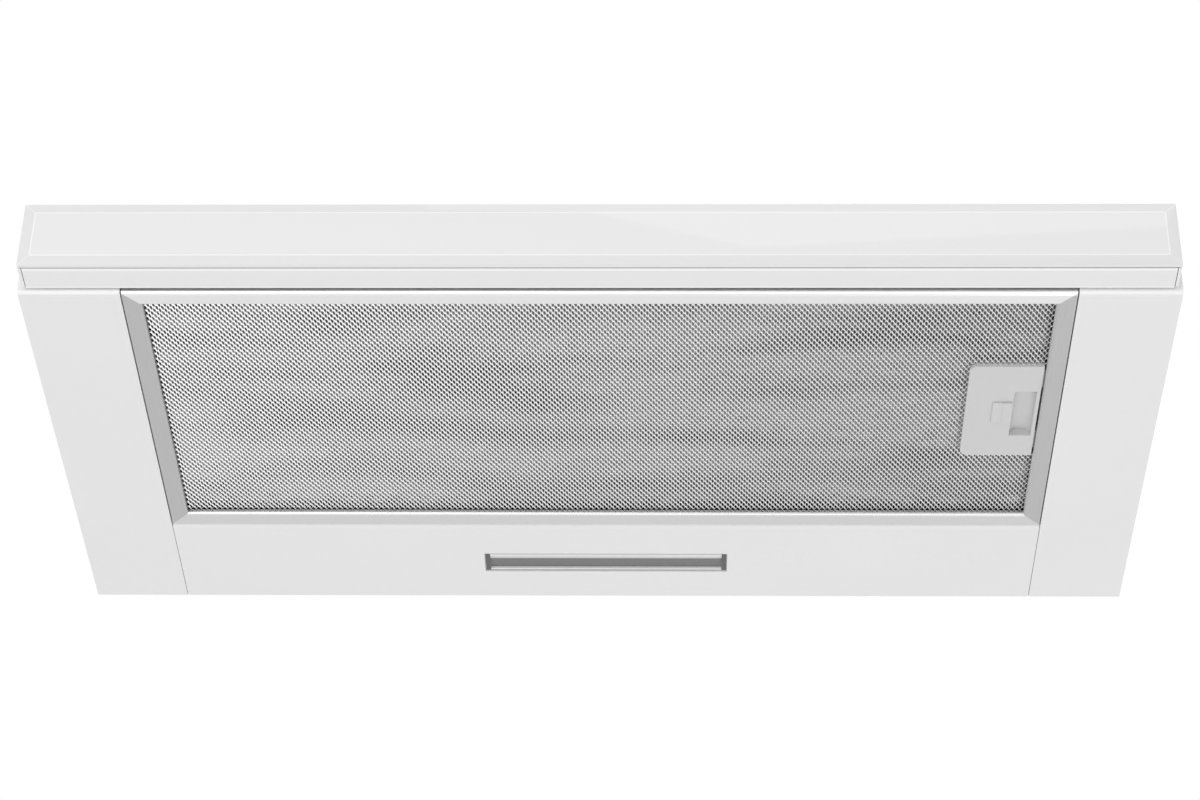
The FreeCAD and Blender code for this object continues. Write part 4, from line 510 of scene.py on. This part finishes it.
# Painted shade: the bead's grey stands in for the shade in the gap under the glass.
silicone = moulded("grey_silicone", "#767676", "#6C6C6C",
                   grain=0.5 * MM, roughness=0.5, depth=0.02 * MM)
finish(seal, "drawer", "rubber", silicone)


# Motor: a pressed steel can with a dark electrostatic paint, which dries to a slight orange
# peel about 1.4 mm across.

motor_paint = moulded("motor_paint", "#4A4C50", "#3F4145",
                      grain=1.4 * MM, roughness=0.4, depth=0.03 * MM)
dress(motor_paint, "motor")


# Filter frames: folded aluminium strip, mill finish, mitred at the corners. The rolling marks
# run along each strip. The side strips are painted darker than the long ones, and the rear strip
# darker than the front, as painted shade. The front strip of the lower filter is hemmed like the
# covers.

STRIP_MARK = 0.5 * MM
STRIP_STRETCH = 0.02
STRIP_CONTRAST = 0.12
STRIP_MARK_DEPTH = 0.01 * MM


def filter_aluminium(name, node):
    """Mitred strip round a node's box: the shorter two sides are the side strips."""
    low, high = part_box(node)
    material, tree, place = new_material(name)
    middle = (low + high) / 2
    centred = add(tree, "ShaderNodeMapping", Vector=place, Location=-middle)
    axes = add(tree, "ShaderNodeSeparateXYZ", Vector=centred.outputs[0])
    across = add(tree, "ShaderNodeMath", {"operation": "ABSOLUTE"}, _0=axes.outputs["X"])
    along = add(tree, "ShaderNodeMath", {"operation": "ABSOLUTE"}, _0=axes.outputs["Y"])
    spare = (high.x - low.x) / 2 - (high.y - low.y) / 2
    level = add(tree, "ShaderNodeMath", {"operation": "SUBTRACT"}, _0=across.outputs[0], _1=spare)
    side_strip = add(tree, "ShaderNodeMath", {"operation": "GREATER_THAN"},
                     _0=level.outputs[0], _1=along.outputs[0])
    long_marks, side_marks = [
        add(tree, "ShaderNodeTexNoise", Scale=1 / STRIP_MARK, Detail=3.0, Vector=add(
            tree, "ShaderNodeMapping", Vector=place, Scale=stretch).outputs[0])
        for stretch in ((STRIP_STRETCH, 1, 1), (1, STRIP_STRETCH, 1))]
    marks = add(tree, "ShaderNodeMix", _0=side_strip.outputs[0], _2=long_marks.outputs["Fac"],
                _3=side_marks.outputs["Fac"])
    # Painted shade: the rear strip darker than the front, and the side strips darker still.
    rear_strip = add(tree, "ShaderNodeMath", {"operation": "GREATER_THAN"},
                     _0=axes.outputs["Y"], _1=0.0)
    painted_long_strip_shade = add(tree, "ShaderNodeMix", {"data_type": "RGBA"},
                     _0=rear_strip.outputs[0], _6=linear("#E4E4E4"), _7=linear("#D2D2D2"))
    base = add(tree, "ShaderNodeMix", {"data_type": "RGBA"},
               _0=side_strip.outputs[0], _6=painted_long_strip_shade.outputs[2], _7=linear("#BABABA"))
    tone = add(tree, "ShaderNodeMix", {"data_type": "RGBA", "blend_type": "MULTIPLY"},
               _0=STRIP_CONTRAST, _6=base.outputs[2], _7=marks.outputs[0])
    gloss = add(tree, "ShaderNodeMapRange", Value=marks.outputs[0], To_Min=0.24, To_Max=0.36)
    skin = add(tree, "ShaderNodeBump", Strength=0.12, Distance=STRIP_MARK_DEPTH,
               Height=marks.outputs[0])
    close_material(tree, add(tree, "ShaderNodeBsdfPrincipled", Base_Color=tone.outputs[2],
                             Metallic=1.0, Roughness=gloss.outputs[0], Normal=skin.outputs[0]))
    return material


strip_metal = filter_aluminium("filter_strip_aluminium", "filter_frame")
dress(strip_metal, "filter_frame")
dress(filter_aluminium("drawer_strip_aluminium", "drawer_filter_frame"), "drawer_filter_frame")

low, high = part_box("filter_frame")
hem = front_hem("filter_front_hem", low, high)
finish(hem, "filter", "filter_metal", strip_metal)


# Expanded mesh of both filters: aluminium sheet slit and stretched into diamonds, so that every
# strand leans the same way. One bent strand is modelled and repeated along the sheet, a copy half
# a diamond on closes the diamonds, and the pair is repeated across the sheet.

DIAMOND_ACROSS = 2.97 * MM
DIAMOND_ALONG = 4.65 * MM
STRAND_WIDTH = 0.85 * MM
STRAND_THICKNESS = 0.28 * MM
STRAND_TILT = math.radians(28)
BOND_LAP = 0.6
STRAND_RISE = 0.37 * MM
STRAND_MERGE = 0.01 * MM
MIDDLE_BAND = 0.1 * MM
MESH_INSET = 5 * MM
BOND_START = -0.3
BOND_END = 0.9


def expanded_sheet(name, x_low, x_high, y_low, y_high, level):
    """A rectangle of expanded mesh; all rectangles share one grid, so that they meet cleanly."""
    first_x = (math.floor(x_low / DIAMOND_ACROSS) - 1) * DIAMOND_ACROSS
    first_y = (math.floor(y_low / DIAMOND_ALONG) - 1) * DIAMOND_ALONG
    columns = math.ceil((x_high - first_x) / DIAMOND_ACROSS) + 1
    rows = math.ceil((y_high - first_y) / DIAMOND_ALONG) + 1
    half_width, half_thickness = STRAND_WIDTH / 2, STRAND_THICKNESS / 2
    sheet = start(unit_cube, name, (-half_width, 0, -half_thickness),
                  (half_width, DIAMOND_ALONG, half_thickness))
    bpy.ops.object.mode_set(mode="EDIT")
    select("faces", lambda face: abs(face.normal.y) > 0.5)
    bpy.ops.mesh.delete(type="FACE")
    select("edges", lambda edge: abs(edge.verts[0].co.y - edge.verts[1].co.y) > NEAR)
    bpy.ops.mesh.subdivide(number_cuts=1)
    bpy.ops.mesh.select_all(action="SELECT")
    bpy.ops.transform.rotate(value=STRAND_TILT, orient_axis="Y", center_override=(0, 0, 0))
    bond = half_width * math.cos(STRAND_TILT) * BOND_LAP
    bpy.ops.transform.translate(value=(bond, 0, 0))
    select("verts", lambda vert: abs(vert.co.y - DIAMOND_ALONG / 2) < MIDDLE_BAND)
    bpy.ops.transform.translate(value=(DIAMOND_ACROSS / 2 - 2 * bond, 0, 0))
    bpy.ops.object.mode_set(mode="OBJECT")
    modify(sheet, "ARRAY", use_relative_offset=False, use_constant_offset=True,
           constant_offset_displace=(0, DIAMOND_ALONG, 0), count=rows,
           use_merge_vertices=True, merge_threshold=STRAND_MERGE)
    modify(sheet, "ARRAY", use_relative_offset=False, use_constant_offset=True,
           constant_offset_displace=(DIAMOND_ACROSS / 2, DIAMOND_ALONG / 2, 0), count=2)
    modify(sheet, "ARRAY", use_relative_offset=False, use_constant_offset=True,
           constant_offset_displace=(DIAMOND_ACROSS, 0, 0), count=columns)
    sheet.location = (first_x, first_y, level)
    bpy.ops.object.transform_apply(location=True)
    bpy.ops.object.mode_set(mode="EDIT")
    for point, normal in (((x_low, 0, 0), (1, 0, 0)), ((x_high, 0, 0), (-1, 0, 0)),
                          ((0, y_low, 0), (0, 1, 0)), ((0, y_high, 0), (0, -1, 0))):
        bpy.ops.mesh.select_all(action="SELECT")
        bpy.ops.mesh.bisect(plane_co=point, plane_no=normal, use_fill=True, clear_inner=True)
    bpy.ops.object.mode_set(mode="OBJECT")
    return sheet


def mesh_aluminium(name, bond_highlight_tone, strand_tone):
    """Bonds, on lines half a diamond apart, are painted lighter as painted highlights, and strands
    stay dull.
    """
    material, tree, place = new_material(name)
    axes = add(tree, "ShaderNodeSeparateXYZ", Vector=place)
    turns = add(tree, "ShaderNodeMath", {"operation": "MULTIPLY"},
                _0=axes.outputs["Y"], _1=4 * math.pi / DIAMOND_ALONG)
    wave = add(tree, "ShaderNodeMath", {"operation": "COSINE"}, _0=turns.outputs[0])
    bond = add(tree, "ShaderNodeMapRange", Value=wave.outputs[0],
               From_Min=BOND_START, From_Max=BOND_END)
    # Painted highlight: the bonds are painted lighter than the strands.
    tone = add(tree, "ShaderNodeMix", {"data_type": "RGBA"},
               _0=bond.outputs[0], _6=linear(strand_tone), _7=linear(bond_highlight_tone))
    gloss = add(tree, "ShaderNodeMapRange", Value=bond.outputs[0], To_Min=0.36, To_Max=0.28)
    close_material(tree, add(tree, "ShaderNodeBsdfPrincipled", Base_Color=tone.outputs[2],
                             Metallic=1.0, Roughness=gloss.outputs[0]))
    return material


# The bonds' lighter tone is a painted highlight.
strand_metal = mesh_aluminium("expanded_aluminium", "#F4F4F4", "#C6C6C6")
low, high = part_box("filter_mesh")
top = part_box("filter_core")[1].z + STRAND_RISE
latch_low, latch_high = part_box("latch_plate")
edge = latch_low.x
front, rear = low.y + MESH_INSET, high.y - MESH_INSET
left, right = low.x + MESH_INSET, high.x - MESH_INSET
for side, level in (("lower", (low.z + high.z) / 2), ("upper", top)):
    for part, *sides in (("left", left, 0, front, rear), ("right", 0, edge, front, rear),
                         ("front_corner", edge, right, front, latch_low.y),
                         ("rear_corner", edge, right, latch_high.y, rear)):
        sheet = expanded_sheet("filter_%s_mesh_%s" % (side, part), *sides, level)
        finish(sheet, "filter", "filter_metal", strand_metal, "filter_mesh")

low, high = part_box("drawer_filter_mesh")
front, rear = low.y + MESH_INSET, high.y - MESH_INSET
left, right = low.x + MESH_INSET, high.x - MESH_INSET
for side, level in (("lower", low.z + STRAND_RISE), ("upper", high.z + STRAND_RISE)):
    for part, *sides in (("left", left, 0), ("right", 0, right)):
        sheet = expanded_sheet("drawer_%s_mesh_%s" % (side, part), *sides, front, rear, level)
        finish(sheet, "drawer", "filter_metal", strand_metal, "drawer_filter_mesh")


# Foil in both filters: layers of thin aluminium foil, crumpled and laid in as a mat, where the
# grease settles. Its creases stand a millimetre or so high, about 9 mm apart. Its tone is darker
# than bare foil, partly grease and partly painted shade in the mesh's holes, and streaks along
# the filter are painted darker still, as painted shade.

FOIL_CELL = 2 * MM
FOIL_CREASE = 9 * MM
FOIL_HEIGHT = 1.6 * MM
FOIL_DRIFT = 24 * MM
FOIL_STREAK = 0.2
FOIL_FULL_SHADE = 0.36
FOIL_NO_SHADE = 0.6


def foil_pack(name, node, floor, cut_low=(0, 0), cut_high=(0, 0)):
    """Crumpled foil as a closed mat in a node's box above a floor, less what two corners span."""
    low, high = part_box(node)
    size = high - low
    middle = (low + high) / 2
    bpy.ops.object.select_all(action="DESELECT")
    bpy.ops.mesh.primitive_grid_add(x_subdivisions=round(size.x / FOIL_CELL),
                                    y_subdivisions=round(size.y / FOIL_CELL), size=1)
    pack = bpy.context.active_object
    pack.name = pack.data.name = name
    pack.scale = (size.x, size.y, 1)
    pack.location = (middle.x, middle.y, high.z - FOIL_HEIGHT / 2)
    bpy.ops.object.transform_apply(location=True, rotation=True, scale=True)
    bpy.ops.object.mode_set(mode="EDIT")
    select("faces", lambda face: all(
        a < b < c for a, b, c in zip(cut_low, face.calc_center_median().xy, cut_high)))
    bpy.ops.mesh.delete(type="FACE")
    bpy.ops.object.mode_set(mode="OBJECT")
    creases = bpy.data.textures.new(name, "VORONOI")
    creases.noise_scale = FOIL_CREASE
    modify(pack, "DISPLACE", texture=creases, texture_coords="LOCAL", strength=FOIL_HEIGHT,
           mid_level=0.5)
    modify(pack, "SOLIDIFY", thickness=high.z - floor - 2 * FOIL_HEIGHT, offset=-1)
    return pack


def foil(name, light, dark):
    material, tree, place = new_material(name)
    stretched = add(tree, "ShaderNodeMapping", Vector=place, Scale=(FOIL_STREAK, 1, 1))
    drift = add(tree, "ShaderNodeTexNoise", Vector=stretched.outputs[0], Scale=1 / FOIL_DRIFT,
                Detail=2.0)
    # Painted shade: streaks along the filter are darker.
    layers = add(tree, "ShaderNodeMapRange", Value=drift.outputs["Fac"],
                 From_Min=FOIL_FULL_SHADE, From_Max=FOIL_NO_SHADE)
    tone = add(tree, "ShaderNodeMix", {"data_type": "RGBA"},
               _0=layers.outputs[0], _6=linear(dark), _7=linear(light))
    close_material(tree, add(tree, "ShaderNodeBsdfPrincipled", Base_Color=tone.outputs[2],
                             Metallic=1.0, Roughness=0.35))
    return material


# Both tones are darker than bare foil: partly grease, partly painted shade in the mesh's holes.
foil_metal = foil("crumpled_foil", "#A8A8A8", "#545454")
core_low, core_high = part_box("filter_core")
pack = foil_pack("filter_foil", "filter_core", core_low.z,
                 latch_low.xy, (core_high.x, latch_high.y))
finish(pack, "filter", "filter_metal", foil_metal, "filter_core")
sheet_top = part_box("drawer_filter_mesh")[0].z + 2 * STRAND_RISE
pack = foil_pack("drawer_foil", "drawer_filter_mesh", sheet_top)
finish(pack, "drawer", "filter_metal", foil_metal, "drawer_filter_mesh")


# Studio: a pale floor far below, as under a hood on a wall, soft lamps, a white surround and
# the camera, which looks up at the hood from where the photograph was taken.

CAMERA_PLACE = Vector((0.03751, -1.41103, -1.00276))
CAMERA_YAW = -0.0277798
CAMERA_PITCH = 0.63116
CAMERA_ROLL = 0.0168915
CAMERA_LENS = 94.762
CAMERA_SENSOR = 36
CAMERA_SIGHT = 200
FLOOR_LEVEL = -2.0
FLOOR_THICKNESS = 0.01
FLOOR_REACH = 30.0
FLOOR_DRIFT = 2.0
FLOOR_LIFT = 0.315
WORLD_LIGHT = 0.71

camera = bpy.data.objects.new("camera", bpy.data.cameras.new("camera"))
bpy.context.scene.collection.objects.link(camera)
camera.data.sensor_width = CAMERA_SENSOR
camera.data.lens = CAMERA_LENS
camera.data.clip_end = CAMERA_SIGHT
camera.matrix_world = (Matrix.Translation(CAMERA_PLACE)
                       @ Matrix.Rotation(-CAMERA_YAW, 4, "Z")
                       @ Matrix.Rotation(math.pi / 2 + CAMERA_PITCH, 4, "X")
                       @ Matrix.Rotation(CAMERA_ROLL, 4, "Z"))
bpy.context.scene.camera = camera


def shows_plain(tree):
    """1 for the rays of the camera, of gloss and of clear parts, and 0 for those that light."""
    path = add(tree, "ShaderNodeLightPath")
    seen = add(tree, "ShaderNodeMath", {"operation": "MAXIMUM"},
               _0=path.outputs["Is Camera Ray"], _1=path.outputs["Is Glossy Ray"])
    return add(tree, "ShaderNodeMath", {"operation": "MAXIMUM"},
               _0=seen.outputs[0], _1=path.outputs["Is Transmission Ray"]).outputs[0]


floor = start(unit_cube, "floor", (-FLOOR_REACH, -FLOOR_REACH, FLOOR_LEVEL - FLOOR_THICKNESS),
              (FLOOR_REACH, FLOOR_REACH, FLOOR_LEVEL))
material, tree, place = new_material("pale_floor")
drift = add(tree, "ShaderNodeTexNoise", Vector=place, Scale=1 / FLOOR_DRIFT)
tone = add(tree, "ShaderNodeMix", {"data_type": "RGBA"},
           _0=drift.outputs["Fac"], _6=linear("#F3F3F3"), _7=linear("#F5F5F5"))
matt = add(tree, "ShaderNodeBsdfPrincipled", Base_Color=tone.outputs[2], Roughness=0.9)
lift = add(tree, "ShaderNodeMapRange", Value=shows_plain(tree), To_Max=FLOOR_LIFT)
glow = add(tree, "ShaderNodeEmission", Color=(1, 1, 1, 1), Strength=lift.outputs[0])
close_material(tree, add(tree, "ShaderNodeAddShader", _0=matt.outputs[0], _1=glow.outputs[0]))
floor.data.materials.append(material)


def soft_lamp(name, spot, target, power, size):
    """A square lamp at one place that looks at another."""
    lamp = bpy.data.objects.new(name, bpy.data.lights.new(name, "AREA"))
    bpy.context.scene.collection.objects.link(lamp)
    lamp.data.energy = power
    lamp.data.size = size
    lamp.location = spot
    aim = Vector(target) - Vector(spot)
    lamp.rotation_euler = aim.to_track_quat("-Z", "Y").to_euler()
    lamp.visible_camera = False


soft_lamp("under_lamp", (-0.1, -1.0, -1.9), (-0.1, -1.0, 0), power=6, size=1.4)
soft_lamp("side_lamp", (1.1, 0.8, -1.9), (1.1, 0.8, 0), power=5.5, size=1.2)
soft_lamp("front_lamp", (-1.0, -2.2, -0.6), (0, 0, 0), power=14.5, size=1.8)
soft_lamp("back_lamp", (-1.3, 1.9, 0.6), (0, 0, 0), power=8, size=1.5)
soft_lamp("top_lamp", (0.6, -0.9, 2.2), (0, 0, 0), power=12, size=2.4)

world = bpy.data.worlds.new("studio")
bpy.context.scene.world = world
world.use_nodes = True
tree = world.node_tree
tree.nodes.clear()
strength = add(tree, "ShaderNodeMapRange", Value=shows_plain(tree), To_Min=WORLD_LIGHT)
light = add(tree, "ShaderNodeBackground", Color=(1, 1, 1, 1), Strength=strength.outputs[0])
add(tree, "ShaderNodeOutputWorld", Surface=light.outputs[0])

bpy.context.scene.view_settings.view_transform = "Standard"
